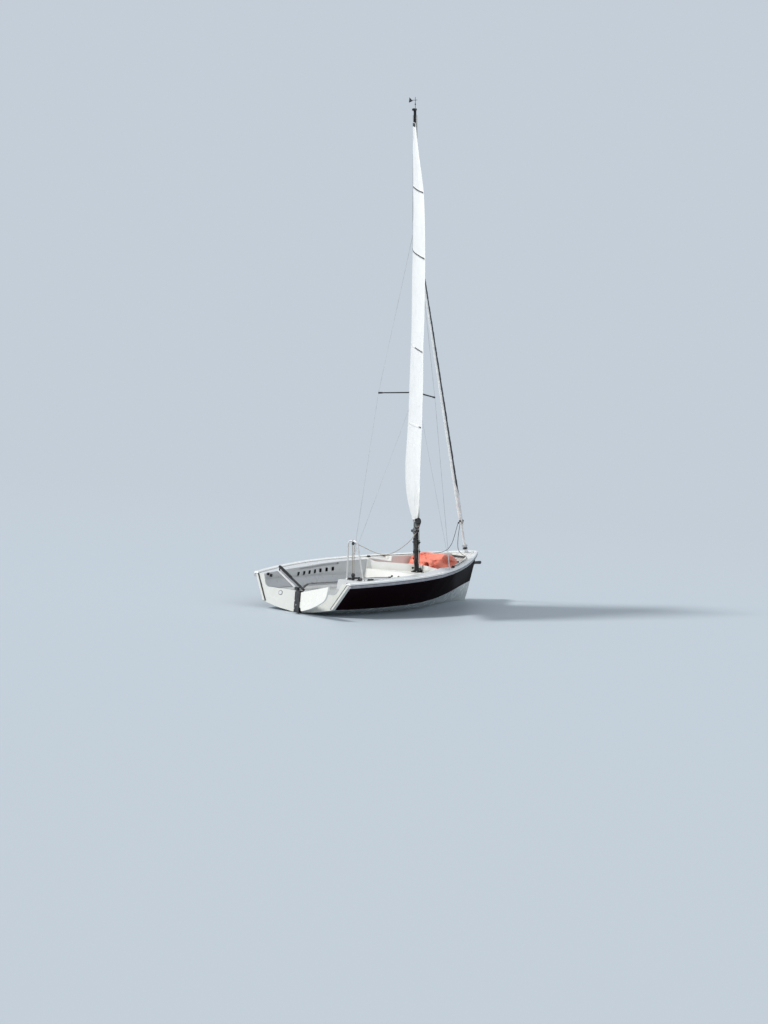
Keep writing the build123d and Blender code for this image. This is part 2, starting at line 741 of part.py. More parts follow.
# Centreboard, raised: it lies aft of its pivot
board_tip = BOARD_PIVOT_X - BOARD_LENGTH
with BuildPart() as centreboard:
    with BuildSketch(Plane.XZ.offset(-BOARD_THICKNESS / 2)):
        with BuildLine():
            low, high = BOARD_PIVOT_Z - BOARD_LEADING, BOARD_PIVOT_Z + BOARD_TRAILING
            Polyline((board_tip + 200, low), (BOARD_PIVOT_X, low))
            ThreePointArc((BOARD_PIVOT_X, low), (BOARD_PIVOT_X + BOARD_LEADING * 0.98, BOARD_PIVOT_Z - 4),
                          (BOARD_PIVOT_X + BOARD_LEADING * 0.5, BOARD_PIVOT_Z + BOARD_LEADING))
            Polyline((BOARD_PIVOT_X + BOARD_LEADING * 0.5, BOARD_PIVOT_Z + BOARD_LEADING),
                     (BOARD_PIVOT_X - 90, high), (board_tip + 60, high - 30))
            ThreePointArc((board_tip + 60, high - 30), (board_tip + 20, low + 90), (board_tip + 200, low))
        make_face()
    extrude(amount=BOARD_THICKNESS)
    with BuildSketch(Plane.XZ.offset(-BOARD_THICKNESS)):
        with Locations((BOARD_PIVOT_X, BOARD_PIVOT_Z)):
            Circle(BOARD_PIN_RADIUS + PIN_PLAY)
    extrude(amount=2 * BOARD_THICKNESS, mode=Mode.SUBTRACT)
write(centreboard.part, "centreboard")
pin_half = SLOT_HALF - SEAM
board_pin = bar((BOARD_PIVOT_X, -pin_half, BOARD_PIVOT_Z), (BOARD_PIVOT_X, pin_half, BOARD_PIVOT_Z),
                BOARD_PIN_RADIUS)
write(board_pin, "centreboard_pin")

# Mast
mast_plane = Plane(origin=(MAST_FOOT_X, 0, THWART_Z + STEP_THICKNESS + 2 * SEAM),
                   x_dir=(cos(radians(MAST_RAKE)), 0, sin(radians(MAST_RAKE))),
                   z_dir=(-sin(radians(MAST_RAKE)), 0, cos(radians(MAST_RAKE))))


def on_mast(x, y, height):
    return tuple(mast_plane.from_local_coords(Vector(x, y, height)))


with BuildPart() as mast:
    add(bar(on_mast(0, 0, 0), on_mast(0, 0, HOUNDS_HEIGHT), MAST_RADIUS))
    add(bar(on_mast(0, 0, HOUNDS_HEIGHT), on_mast(0, 0, MAST_LENGTH), MAST_RADIUS, MAST_TOP_RADIUS))
write(mast.part, "mast")
with BuildPart() as mast_step:
    with BuildSketch(mast_plane.offset(-SEAM)):
        Rectangle(STEP_LENGTH, STEP_WIDTH)
    extrude(amount=-3 * STEP_THICKNESS)
    split(bisect_by=Plane.XY.offset(THWART_Z + SEAM), keep=Keep.TOP)
write(mast_step.part, "mast_step")
with BuildPart() as masthead:
    with BuildSketch(mast_plane.offset(MAST_LENGTH + SEAM)):
        with Locations((-MASTHEAD_BACK, 0)):
            SlotOverall(MASTHEAD_LENGTH, MASTHEAD_WIDTH)
    extrude(amount=MASTHEAD_HEIGHT)
write(masthead.part, "masthead")
vane_foot = MAST_LENGTH + MASTHEAD_HEIGHT + 2 * SEAM
vane_point = on_mast(-VANE_BACK, 0, vane_foot + VANE_HEIGHT)
with BuildPart() as wind_indicator:
    add(bar(on_mast(10, 0, vane_foot), on_mast(10, 0, vane_foot + VANE_ROD_HEIGHT), VANE_ROD_RADIUS))
    add(bar(on_mast(10 - VANE_BACK, 0, vane_foot + VANE_HEIGHT),
            on_mast(VANE_AHEAD, 0, vane_foot + VANE_HEIGHT), VANE_ROD_RADIUS))
    with BuildSketch(Plane(origin=vane_point, x_dir=(1, 0, 0), z_dir=(0, 1, 0)).offset(-2)):
        with BuildLine():
            Polyline((-30, VANE_HALF_HEIGHT), (60, 0), (-30, -VANE_HALF_HEIGHT), close=True)
        make_face()
    extrude(amount=4)
write(wind_indicator.part, "wind_indicator")

# Spreaders, one each side
with BuildPart() as spreaders:
    for name, side in SIDES:
        with BuildSketch(mast_plane.offset(SPREADER_HEIGHT - SPREADER_THICKNESS / 2)):
            with BuildLine():
                Polyline((SPREADER_ROOT_FRONT, side * (MAST_RADIUS + SEAM)),
                         (-SPREADER_ROOT_BACK, side * (MAST_RADIUS + SEAM)),
                         (-SPREADER_SWEEP - SPREADER_TIP_HALF, side * (SPREADER_REACH - SPREADER_TIP_HALF)),
                         (-SPREADER_SWEEP + SPREADER_TIP_HALF, side * SPREADER_REACH), close=True)
            make_face()
        extrude(amount=SPREADER_THICKNESS)
write(spreaders.part, "spreaders")

# Chainplates on the side decks and the shrouds above them
chainplate_share = share_at(CHAINPLATE_X, SHEER_MIDDLE)
chainplate_y = half_beam(chainplate_share) - CHAINPLATE_INSET
deck_z = sheer(chainplate_share)
chainplate_foot_z = deck_z + CHAINPLATE_LIFT
with BuildPart() as chainplates:
    for name, side in SIDES:
        with BuildSketch(Plane.XY.offset(chainplate_foot_z)):
            with Locations((CHAINPLATE_X, side * chainplate_y)):
                RectangleRounded(*CHAINPLATE_FOOT, 6)
        extrude(amount=CHAINPLATE_THICKNESS)
        with BuildSketch(Plane.XZ.offset(-side * chainplate_y - CHAINPLATE_THICKNESS / 2)):
            with Locations((CHAINPLATE_X, chainplate_foot_z + CHAINPLATE_HEIGHT / 2)):
                RectangleRounded(24, CHAINPLATE_HEIGHT, 8)
        extrude(amount=CHAINPLATE_THICKNESS)
write(chainplates.part, "chainplates")
shroud_foot_z = chainplate_foot_z + CHAINPLATE_HEIGHT + 2.5 * SEAM
with BuildPart() as shrouds:
    for name, side in SIDES:
        foot = (CHAINPLATE_X, side * chainplate_y, shroud_foot_z)
        tip = on_mast(-SPREADER_SWEEP - 3, side * (SPREADER_REACH + SHROUD_RADIUS + SEAM), SPREADER_HEIGHT)
        hound = on_mast(0, side * (MAST_RADIUS + SHROUD_RADIUS + SEAM), HOUNDS_HEIGHT)
        add(bar(foot, tip, SHROUD_RADIUS))
        add(bar(tip, hound, SHROUD_RADIUS))
        with Locations(tip):
            Sphere(SHROUD_RADIUS * 1.4)
write(shrouds.part, "shrouds")

# Bow fitting, furler, forestay and furled jib
tack_share = share_at(FORESTAY_FOOT_X, SHEER_BOW)
crown = [(STEM_FOOT_X * at + lean(at) * (sheer(at) + CAMBER), 0, sheer(at) + CAMBER)
         for at in (tack_share - 0.01, tack_share)]
deck_way = Vector(*crown[1]) - Vector(*crown[0])
deck_plane = Plane(origin=crown[1], x_dir=deck_way, z_dir=(-deck_way.Z, 0, deck_way.X))
with BuildPart() as bow_fitting:
    with BuildSketch(deck_plane.offset(SEAM)):
        with Locations((BOW_PLATE_LENGTH * 0.15, 0)):
            RectangleRounded(BOW_PLATE_LENGTH, BOW_PLATE_WIDTH, 8)
    extrude(amount=BOW_PLATE_THICKNESS)
    with BuildSketch(Plane(origin=crown[1], x_dir=deck_way, z_dir=(0, -1, 0)).offset(-BOW_LUG_THICKNESS / 2)):
        with Locations((PAINTER_EYE_AHEAD, PAINTER_EYE_HEIGHT - 3)):
            RectangleRounded(2 * (PAINTER_EYE_RADIUS + PAINTER_EYE_WALL), 30, 12)
        with Locations((0, BOW_LUG_HEIGHT - 12)):
            RectangleRounded(22, 24, 6)
        with Locations((PAINTER_EYE_AHEAD, PAINTER_EYE_HEIGHT)):
            Circle(PAINTER_EYE_RADIUS, mode=Mode.SUBTRACT)
    extrude(amount=BOW_LUG_THICKNESS)
write(bow_fitting.part, "bow_fitting")
hounds_front = Vector(*on_mast(MAST_RADIUS + 8, 0, HOUNDS_HEIGHT))
tack = Vector(*crown[1]) + Vector(0, 0, BOW_LUG_HEIGHT + 3.1)
stay_way = (hounds_front - tack).normalized()


def on_stay(distance):
    return tuple(tack + stay_way * distance)


stay_length = (hounds_front - tack).length
drum_foot = FURLER_DRUM_RADIUS * 0.6
with BuildPart() as furler_drum:
    add(bar(on_stay(0), on_stay(drum_foot + 1), FURLER_STEM_RADIUS))
    add(bar(on_stay(drum_foot), on_stay(drum_foot + FURLER_FLANGE), FURLER_DRUM_RADIUS))
    add(bar(on_stay(drum_foot + 5), on_stay(FURLER_DRUM_HEIGHT - 5), FURLER_DRUM_RADIUS * 0.55))
    add(bar(on_stay(FURLER_DRUM_HEIGHT - FURLER_FLANGE), on_stay(FURLER_DRUM_HEIGHT), FURLER_DRUM_RADIUS))
write(furler_drum.part, "furler_drum")
jib_end = stay_length - JIB_END_GAP
with BuildPart() as forestay:
    add(bar(on_stay(FURLER_DRUM_HEIGHT + SEAM), on_stay(JIB_START - SEAM), FORESTAY_SLEEVE_RADIUS))
    add(bar(on_stay(jib_end + SEAM), on_stay(stay_length - SEAM), FORESTAY_RADIUS))
write(forestay.part, "forestay")
write(bar(on_stay(JIB_START), on_stay(jib_end), JIB_RADIUS, JIB_TOP_RADIUS), "furled_jib")

# Gooseneck and kicker brackets on the mast's aft face
swing_x = -SWING_OFFSET


def hinge_bracket(height, half_height):
    """Two lugs and a pin that stand off the mast's aft face."""
    with BuildPart() as piece:
        for sign in (-1, 1):
            with BuildSketch(mast_plane.offset(height + sign * half_height - LUG_THICKNESS / 2)):
                with Locations((swing_x / 2 - MAST_RADIUS / 2, 0)):
                    Rectangle(SWING_OFFSET - MAST_RADIUS / 2, 2 * LUG_RADIUS)
                with Locations((swing_x, 0)):
                    Circle(LUG_RADIUS)
            extrude(amount=LUG_THICKNESS)
        reach = half_height + LUG_THICKNESS / 2
        add(bar(on_mast(swing_x, 0, height - reach), on_mast(swing_x, 0, height + reach),
                GOOSENECK_PIN_RADIUS))
        add(bar(on_mast(0, 0, height - 2 * half_height), on_mast(0, 0, height + 2 * half_height),
                MAST_RADIUS + SEAM), mode=Mode.SUBTRACT)
    return piece.part


write(hinge_bracket(GOOSENECK_HEIGHT, GOOSENECK_HALF), "gooseneck")
write(hinge_bracket(KICKER_HEIGHT, KICKER_BRACKET_HALF), "kicker_bracket")

# Boom
gooseneck_point = Vector(*on_mast(swing_x, 0, GOOSENECK_HEIGHT))
boom_way = Vector(-cos(radians(BOOM_ANGLE)) * cos(radians(BOOM_RISE)),
                  -sin(radians(BOOM_ANGLE)) * cos(radians(BOOM_RISE)), sin(radians(BOOM_RISE)))
boom_side = Vector(-sin(radians(BOOM_ANGLE)), cos(radians(BOOM_ANGLE)), 0)
boom_up = boom_side.cross(boom_way)


def on_boom(distance, up=0.0, across=0.0):
    return tuple(gooseneck_point + boom_way * distance + boom_up * up + boom_side * across)


boom_plane = Plane(origin=on_boom(BOOM_NOSE), x_dir=boom_side, z_dir=boom_way)
with BuildPart() as boom:
    with BuildSketch(boom_plane):
        Ellipse(BOOM_HALF_WIDTH, BOOM_HALF_HEIGHT)
    extrude(amount=BOOM_LENGTH - BOOM_NOSE)
write(boom.part, "boom")
nose_half = GOOSENECK_HALF - LUG_THICKNESS / 2 - GOOSENECK_GAP
with BuildPart() as boom_nose:
    with BuildSketch(mast_plane.offset(GOOSENECK_HEIGHT - nose_half)):
        with Locations((swing_x, 0)):
            Circle(LUG_RADIUS)
    extrude(amount=2 * nose_half)
    add(bar(on_boom(LUG_RADIUS * 0.7), on_boom(BOOM_NOSE - SEAM), LUG_RADIUS - 2))
    add(bar(on_boom(BOOM_NOSE - 8), on_boom(BOOM_NOSE - SEAM), BOOM_HALF_WIDTH - 3))
    add(bar(on_mast(swing_x, 0, GOOSENECK_HEIGHT - GOOSENECK_HALF),
            on_mast(swing_x, 0, GOOSENECK_HEIGHT + GOOSENECK_HALF), GOOSENECK_PIN_RADIUS + PIN_PLAY),
        mode=Mode.SUBTRACT)
write(boom_nose.part, "boom_nose")
boom_cap = bar(on_boom(BOOM_LENGTH + SEAM), on_boom(BOOM_LENGTH + BOOM_CAP_LENGTH), BOOM_HALF_WIDTH - 4)
write(boom_cap, "boom_end_cap")

# Kicker, which swings with the boom about the same axis
kicker_foot = Vector(*on_mast(swing_x, 0, KICKER_HEIGHT))
kicker_top = Vector(*on_boom(KICKER_ON_BOOM, -BOOM_HALF_HEIGHT - SEAM))
kicker_level = kicker_top - kicker_foot
kicker_level = kicker_level - mast_plane.z_dir * kicker_level.dot(mast_plane.z_dir)
kicker_tang = kicker_level.normalized() * KICKER_TANG
with BuildPart() as kicker:
    with BuildSketch(mast_plane.offset(KICKER_HEIGHT - KICKER_EYE_HALF)):
        with Locations((swing_x, 0)):
            Circle(LUG_RADIUS)
    extrude(amount=2 * KICKER_EYE_HALF)
    add(bar(kicker_foot + kicker_tang * 0.25, kicker_foot + kicker_tang, KICKER_RADIUS))
    with Locations(tuple(kicker_foot + kicker_tang)):
        Sphere(KICKER_RADIUS)
    add(bar(kicker_foot + kicker_tang, kicker_top, KICKER_RADIUS))
    add(bar(on_mast(swing_x, 0, KICKER_HEIGHT - 2 * KICKER_EYE_HALF),
            on_mast(swing_x, 0, KICKER_HEIGHT + 2 * KICKER_EYE_HALF), GOOSENECK_PIN_RADIUS + PIN_PLAY),
        mode=Mode.SUBTRACT)
    split(bisect_by=Plane(origin=kicker_top, x_dir=boom_side, z_dir=boom_up), keep=Keep.BOTTOM)
write(kicker.part, "kicker")

# Mainsail: rows from the foot to the head
# share of the luff, depth of the belly, angle off the centreline in degrees
SAIL_ROWS = ((0.0, 40.0, BOOM_ANGLE), (0.03, 90.0, 30.6), (0.08, 138.0, 31.0), (0.15, 155.0, 31.5),
             (0.22, 140.0, 32.1), (0.30, 118.0, 33.0), (0.40, 104.0, 34.0), (0.50, 90.0, 35.2),
             (0.60, 79.0, 36.9), (0.70, 66.0, 38.9), (0.78, 56.0, 41.2), (0.85, 44.0, 43.0),
             (0.92, 26.0, 42.6), (1.0, 9.0, 41.5))
BELLY_POINTS = (0.0, 0.12, 0.3, 0.5, 0.75, 1.0)
luff_length = SAIL_HEAD_HEIGHT - SAIL_TACK_HEIGHT
clew = Vector(*on_boom(SAIL_FOOT, BOOM_HALF_HEIGHT + SEAM - 1.1))
with BuildPart() as mainsail:
    for share, belly, off_centre in SAIL_ROWS:
        luff = Vector(*on_mast(swing_x, 0, SAIL_TACK_HEIGHT + luff_length * share))
        angle = radians(off_centre)
        tack_point = Vector(*on_mast(swing_x, 0, SAIL_TACK_HEIGHT))
        foot_chord = (clew - tack_point).length
        chord = foot_chord + (SAIL_HEAD_CHORD - foot_chord) * share + SAIL_ROACH * 4 * share * (1 - share)
        foot_rise = (clew.Z - tack_point.Z) / foot_chord
        rise = foot_rise + (SAIL_DROOP - foot_rise) * min(1.0, share / SAIL_LEVEL_SHARE)
        along = Vector(-cos(angle), -sin(angle), rise).normalized()
        across = Vector(-sin(angle), cos(angle), 0)
        near = [(chord * t, belly * 4 * t * (1 - t) + SAIL_THICKNESS / 2) for t in BELLY_POINTS]
        far = [(x, y - SAIL_THICKNESS) for x, y in reversed(near)]
        with BuildSketch(Plane(origin=luff, x_dir=along, z_dir=along.cross(across))):
            with BuildLine():
                Polyline(*near, *far, close=True)
            make_face()
    loft(ruled=True)
write(mainsail.part, "mainsail")

# Rudder gudgeons on the transom
with BuildPart() as gudgeons:
    for z in (GUDGEON_LOW_Z, GUDGEON_HIGH_Z):
        face_x = TRANSOM_LEAN * (z - GUDGEON_HEIGHT / 2)
        with BuildSketch(Plane.XY.offset(z - GUDGEON_HEIGHT / 2)):
            with Locations(((RUDDER_AXIS_X + face_x) / 2, 0)):
                Rectangle(face_x - RUDDER_AXIS_X, 18)
            with Locations((RUDDER_AXIS_X, 0)):
                Circle(GUDGEON_RADIUS)
        extrude(amount=GUDGEON_HEIGHT)
        with BuildSketch(section_plane(0.0).offset(-SEAM)):
            with Locations(*on_section(0.0, [(0, z)])):
                RectangleRounded(70, GUDGEON_HEIGHT + 6, 6)
        extrude(amount=-5)
    with Locations((RUDDER_AXIS_X, 0, GUDGEON_HIGH_Z)):
        Cylinder(PINTLE_RADIUS + PIN_PLAY, 4 * GUDGEON_HIGH_Z, mode=Mode.SUBTRACT)
    split(bisect_by=section_plane(0.0).offset(-SEAM), keep=Keep.BOTTOM)
write(gudgeons.part, "gudgeons")

# Rudder stock, its own +X along the tiller
rudder_plane = Plane(origin=(RUDDER_AXIS_X, 0, 0), z_dir=(0, 0, 1),
                     x_dir=(cos(radians(TILLER_ANGLE)), sin(radians(TILLER_ANGLE)), 0))


def on_rudder(x, y, z):
    return tuple(rudder_plane.from_local_coords(Vector(x, y, z)))


cheek_in = BLADE_THICKNESS / 2 + BLADE_PLAY
cheek_out = cheek_in + CHEEK_THICKNESS
web_front = -GUDGEON_RADIUS - 6.0
stock_middle = (STOCK_BOTTOM_Z + STOCK_HEAD_Z) / 2
stock_height = STOCK_HEAD_Z - STOCK_BOTTOM_Z
crown_bottom = BLADE_PIVOT_Z + STOCK_CROWN_BOTTOM
blade_pin = bar((-BLADE_PIVOT_BACK, -cheek_out, BLADE_PIVOT_Z), (-BLADE_PIVOT_BACK, cheek_out, BLADE_PIVOT_Z),
                BLADE_PIN_RADIUS)
socket_foot = Vector(-20, 0, TILLER_ROOT_Z - 6)
socket_way = Vector(cos(radians(TILLER_RISE)), 0, sin(radians(TILLER_RISE)))
tiller_socket = bar(socket_foot, socket_foot + socket_way * 2 * STOCK_HEAD_LENGTH, TILLER_RADIUS + SEAM)
with BuildPart(rudder_plane) as rudder_stock:
    for side in (-1, 1):
        with Locations((web_front - STOCK_CHEEK_LENGTH / 2, side * (cheek_in + cheek_out) / 2, stock_middle)):
            Box(STOCK_CHEEK_LENGTH, CHEEK_THICKNESS, stock_height)
    with Locations((web_front - STOCK_WEB / 2, 0, stock_middle)):
        Box(STOCK_WEB, 2 * cheek_out, stock_height)
    with Locations((web_front - STOCK_CROWN / 2, 0, (crown_bottom + STOCK_HEAD_Z) / 2)):
        Box(STOCK_CROWN, 2 * cheek_out, STOCK_HEAD_Z - crown_bottom)
    with Locations((-18, 0, STOCK_HEAD_Z + STOCK_HEAD_HEIGHT / 2 - 1)):
        Box(STOCK_HEAD_LENGTH, 2 * cheek_in, STOCK_HEAD_HEIGHT)
    for z in (GUDGEON_LOW_Z, GUDGEON_HIGH_Z):
        lug_z = z + GUDGEON_HEIGHT / 2 + 1.0 + PINTLE_LUG_HEIGHT / 2
        with Locations((web_front / 2 - 4, 0, lug_z)):
            Box(-web_front + 8, 2 * GUDGEON_RADIUS, PINTLE_LUG_HEIGHT)
        with Locations((0, 0, lug_z)):
            Cylinder(GUDGEON_RADIUS, PINTLE_LUG_HEIGHT)
        with Locations((0, 0, z)):
            Cylinder(PINTLE_RADIUS, GUDGEON_HEIGHT + 8)
    add(blade_pin)
    add(tiller_socket, mode=Mode.SUBTRACT)
write(rudder_stock.part, "rudder_stock")

# Tiller and its extension
rudder_origin = Vector(*on_rudder(0, 0, 0))
tiller_way = Vector(*on_rudder(*socket_way)) - rudder_origin
tiller_root = Vector(*on_rudder(*socket_foot))
tiller_end = tiller_root + tiller_way * TILLER_LENGTH
write(bar(tiller_root + tiller_way * SEAM, tiller_end, TILLER_RADIUS), "tiller")
lift = Vector(0, 0, EXTENSION_LIFT)
joint_foot = tiller_end - tiller_way * EXTENSION_JOINT_BACK
with BuildPart() as tiller_extension:
    add(bar(tiller_end + tiller_way * -30 + lift, tiller_root + tiller_way * -EXTENSION_BACK + lift,
            EXTENSION_RADIUS))
    add(bar(joint_foot + Vector(0, 0, TILLER_RADIUS / cos(radians(TILLER_RISE)) + 3), joint_foot + lift,
            EXTENSION_JOINT_RADIUS))
write(tiller_extension.part, "tiller_extension")

# Rudder blade, raised: it trails aft of the stock.
# The frame's +Y points up, so the trailing edge, which is on top, has positive values.
blade_way = Vector(*on_rudder(-cos(radians(BLADE_RAISE)), 0, sin(radians(BLADE_RAISE)))) - rudder_origin
blade_frame = Plane(origin=on_rudder(-BLADE_PIVOT_BACK, 0, BLADE_PIVOT_Z), x_dir=blade_way,
                    z_dir=Vector(*on_rudder(0, 1, 0)) - rudder_origin)
neck_x = BLADE_NECK + BLADE_HEEL * 0.7
shoulder = (BLADE_LENGTH * 0.80, -BLADE_LEADING * 0.17)
tip = (BLADE_LENGTH, BLADE_TRAILING * 1.14)
with BuildPart() as rudder_blade:
    with BuildSketch(blade_frame.offset(-BLADE_THICKNESS / 2)):
        with BuildLine():
            Line((-BLADE_HEEL, BLADE_HEEL), (BLADE_NECK, BLADE_HEEL))
            Polyline((BLADE_NECK, BLADE_HEEL), (neck_x, BLADE_TRAILING), tip)
            ThreePointArc(tip, (BLADE_LENGTH * 0.93, BLADE_TRAILING * 0.29), shoulder)
            ThreePointArc(shoulder, (BLADE_LENGTH * 0.50, -BLADE_LEADING * 0.73), (neck_x, -BLADE_LEADING))
            Polyline((neck_x, -BLADE_LEADING), (BLADE_NECK, -BLADE_HEEL * 1.3), (0, -BLADE_ROOT_RADIUS))
            ThreePointArc((0, -BLADE_ROOT_RADIUS), (-BLADE_ROOT_RADIUS, 0), (-BLADE_HEEL, BLADE_HEEL))
        make_face()
    extrude(amount=BLADE_THICKNESS)
    add(bar(on_rudder(-BLADE_PIVOT_BACK, -cheek_out, BLADE_PIVOT_Z),
            on_rudder(-BLADE_PIVOT_BACK, cheek_out, BLADE_PIVOT_Z), BLADE_PIN_RADIUS + PIN_PLAY),
        mode=Mode.SUBTRACT)
write(rudder_blade.part, "rudder_blade")

# Mainsheet hoop on the case, with flanged feet
hoop_foot_z = CASE_TOP_Z + SEAM
hoop_rise = HOOP_TOP_Z - hoop_foot_z
hoop_slant = hypot(hoop_rise, HOOP_LEAN)
hoop_plane = Plane(origin=(HOOP_X, 0, hoop_foot_z), x_dir=(0, 1, 0), z_dir=(hoop_rise, 0, HOOP_LEAN))
with BuildPart() as mainsheet_hoop:
    with BuildLine(hoop_plane):
        FilletPolyline((-HOOP_HALF_FOOT, 5), (-HOOP_HALF_TOP, hoop_slant), (HOOP_HALF_TOP, hoop_slant),
                       (HOOP_HALF_FOOT, 5), radius=HOOP_BEND_RADIUS)
    hoop_start = hoop_plane.from_local_coords(Vector(-HOOP_HALF_FOOT, 5, 0))
    with BuildSketch(Plane(origin=hoop_start, z_dir=(0, 0, 1))):
        Circle(HOOP_TUBE_RADIUS)
    sweep()
    with BuildSketch(Plane.XY.offset(hoop_foot_z)):
        with Locations((HOOP_X, HOOP_HALF_FOOT), (HOOP_X, -HOOP_HALF_FOOT)):
            Circle(HOOP_FLANGE_RADIUS)
    extrude(amount=HOOP_FLANGE_THICKNESS)
write(mainsheet_hoop.part, "mainsheet_hoop")

# Mainsheet block on the case, between the hoop's feet and the slot
with BuildPart() as mainsheet_block:
    with BuildSketch(Plane.XY.offset(CASE_TOP_Z + SEAM)):
        with Locations((BLOCK_X, 0)):
            Circle(BLOCK_FOOT_RADIUS)
    extrude(amount=BLOCK_HEIGHT - BLOCK_RADIUS)
    with BuildSketch(Plane.XZ.offset(-BLOCK_THICKNESS / 2)):
        with Locations((BLOCK_X, CASE_TOP_Z + BLOCK_HEIGHT)):
            Circle(BLOCK_RADIUS)
    extrude(amount=BLOCK_THICKNESS)
write(mainsheet_block.part, "mainsheet_block")

# Toe straps, held down at both ends
strap_low = SOLE_Z + SEAM
strap_path = [(STRAP_AFT_X, strap_low), (STRAP_AFT_X + STRAP_END, strap_low),
              (STRAP_AFT_X + STRAP_END + STRAP_RAMP, strap_low + STRAP_LIFT),
              (STRAP_FORE_X - STRAP_END - STRAP_RAMP, strap_low + STRAP_LIFT),
              (STRAP_FORE_X - STRAP_END, strap_low), (STRAP_FORE_X, strap_low)]
strap_top = [(x, z + STRAP_THICKNESS) for x, z in reversed(strap_path)]
with BuildPart() as toe_straps:
    for name, side in SIDES:
        with BuildSketch(Plane.XZ.offset(-side * STRAP_Y - STRAP_WIDTH / 2)):
            with BuildLine():
                Polyline(*strap_path, *strap_top, close=True)
            make_face()
        extrude(amount=STRAP_WIDTH)
write(toe_straps.part, "toe_straps")
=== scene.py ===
from math import copysign, cos, exp, hypot, pi, radians, sin

import bmesh
import bpy
from mathutils import Matrix, Vector, noise


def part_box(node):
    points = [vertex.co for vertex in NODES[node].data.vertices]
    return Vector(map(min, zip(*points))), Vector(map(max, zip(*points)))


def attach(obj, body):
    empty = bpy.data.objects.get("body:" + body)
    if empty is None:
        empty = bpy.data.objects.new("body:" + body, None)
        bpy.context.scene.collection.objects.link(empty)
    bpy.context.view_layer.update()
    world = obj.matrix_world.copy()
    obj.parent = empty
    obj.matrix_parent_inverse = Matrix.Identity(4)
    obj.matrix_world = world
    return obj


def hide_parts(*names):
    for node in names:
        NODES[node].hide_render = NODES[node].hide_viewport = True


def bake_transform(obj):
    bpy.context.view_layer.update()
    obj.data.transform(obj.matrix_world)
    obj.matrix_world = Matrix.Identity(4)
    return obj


# The looks of the sailing dinghy. Metres, in the part's own frame: +X forward, +Y to port, +Z up.

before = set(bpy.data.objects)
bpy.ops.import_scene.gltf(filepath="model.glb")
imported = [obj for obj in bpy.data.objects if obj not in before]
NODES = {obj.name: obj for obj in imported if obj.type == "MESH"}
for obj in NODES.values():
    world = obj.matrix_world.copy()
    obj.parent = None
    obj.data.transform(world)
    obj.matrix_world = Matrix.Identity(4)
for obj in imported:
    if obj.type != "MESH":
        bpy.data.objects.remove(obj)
scene = bpy.context.scene
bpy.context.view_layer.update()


def added(name, data):
    """A new object, linked to the scene."""
    thing = bpy.data.objects.new(name, data)
    scene.collection.objects.link(thing)
    return thing


def given(thing, **values):
    """The same node, modifier or curve, with these values set."""
    for key, value in values.items():
        setattr(thing, key, value)
    return thing


def met(node, start, way):
    """Where a ray of up to a metre meets a CAD node, and the normal there, or None."""
    hit, where, normal, _ = NODES[node].ray_cast(Vector(start), Vector(way), distance=1.0)
    return (where.copy(), normal.copy()) if hit else None


# Camera
# The boat stays upright in its own frame, so its heading, trim and heel in the photo are in the camera.
CAMERA_PLACE = (-24.497, -15.297, 2.863)
HEADING, TRIM, HEEL, PITCH = (radians(a) for a in (59.873, -0.714, 5.155, 0.993))
turn = Matrix.Rotation(HEADING, 3, "Z") @ Matrix.Rotation(-TRIM, 3, "Y") @ Matrix.Rotation(HEEL, 3, "X")
back = turn.transposed()
right = back @ Vector((1, 0, 0))
up = back @ Vector((0, sin(PITCH), cos(PITCH)))
behind = back @ Vector((0, -cos(PITCH), sin(PITCH)))
lens = given(bpy.data.cameras.new("camera"), sensor_fit="VERTICAL", sensor_height=24.0, lens=53.39,
             clip_end=600.0)
camera = added("camera", lens)
camera.matrix_world = Matrix((right, up, behind)).transposed().to_4x4()
camera.location = CAMERA_PLACE
scene.camera = camera


# Materials
class Tree:
    """A short way to write the nodes of a material or the world."""

    def __init__(self, owner):
        owner.use_nodes = True
        self.tree = owner.node_tree
        self.tree.nodes.clear()

    def add(self, kind, inputs=None, **values):
        node = given(self.tree.nodes.new("ShaderNode" + kind), **values)
        for key, value in (inputs or {}).items():
            self.put(node.inputs[key], value)
        return node

    def link(self, source, target):
        self.tree.links.new(source, target)

    def put(self, target, value):
        if isinstance(value, bpy.types.NodeSocket):
            self.link(value, target)
        else:
            target.default_value = value


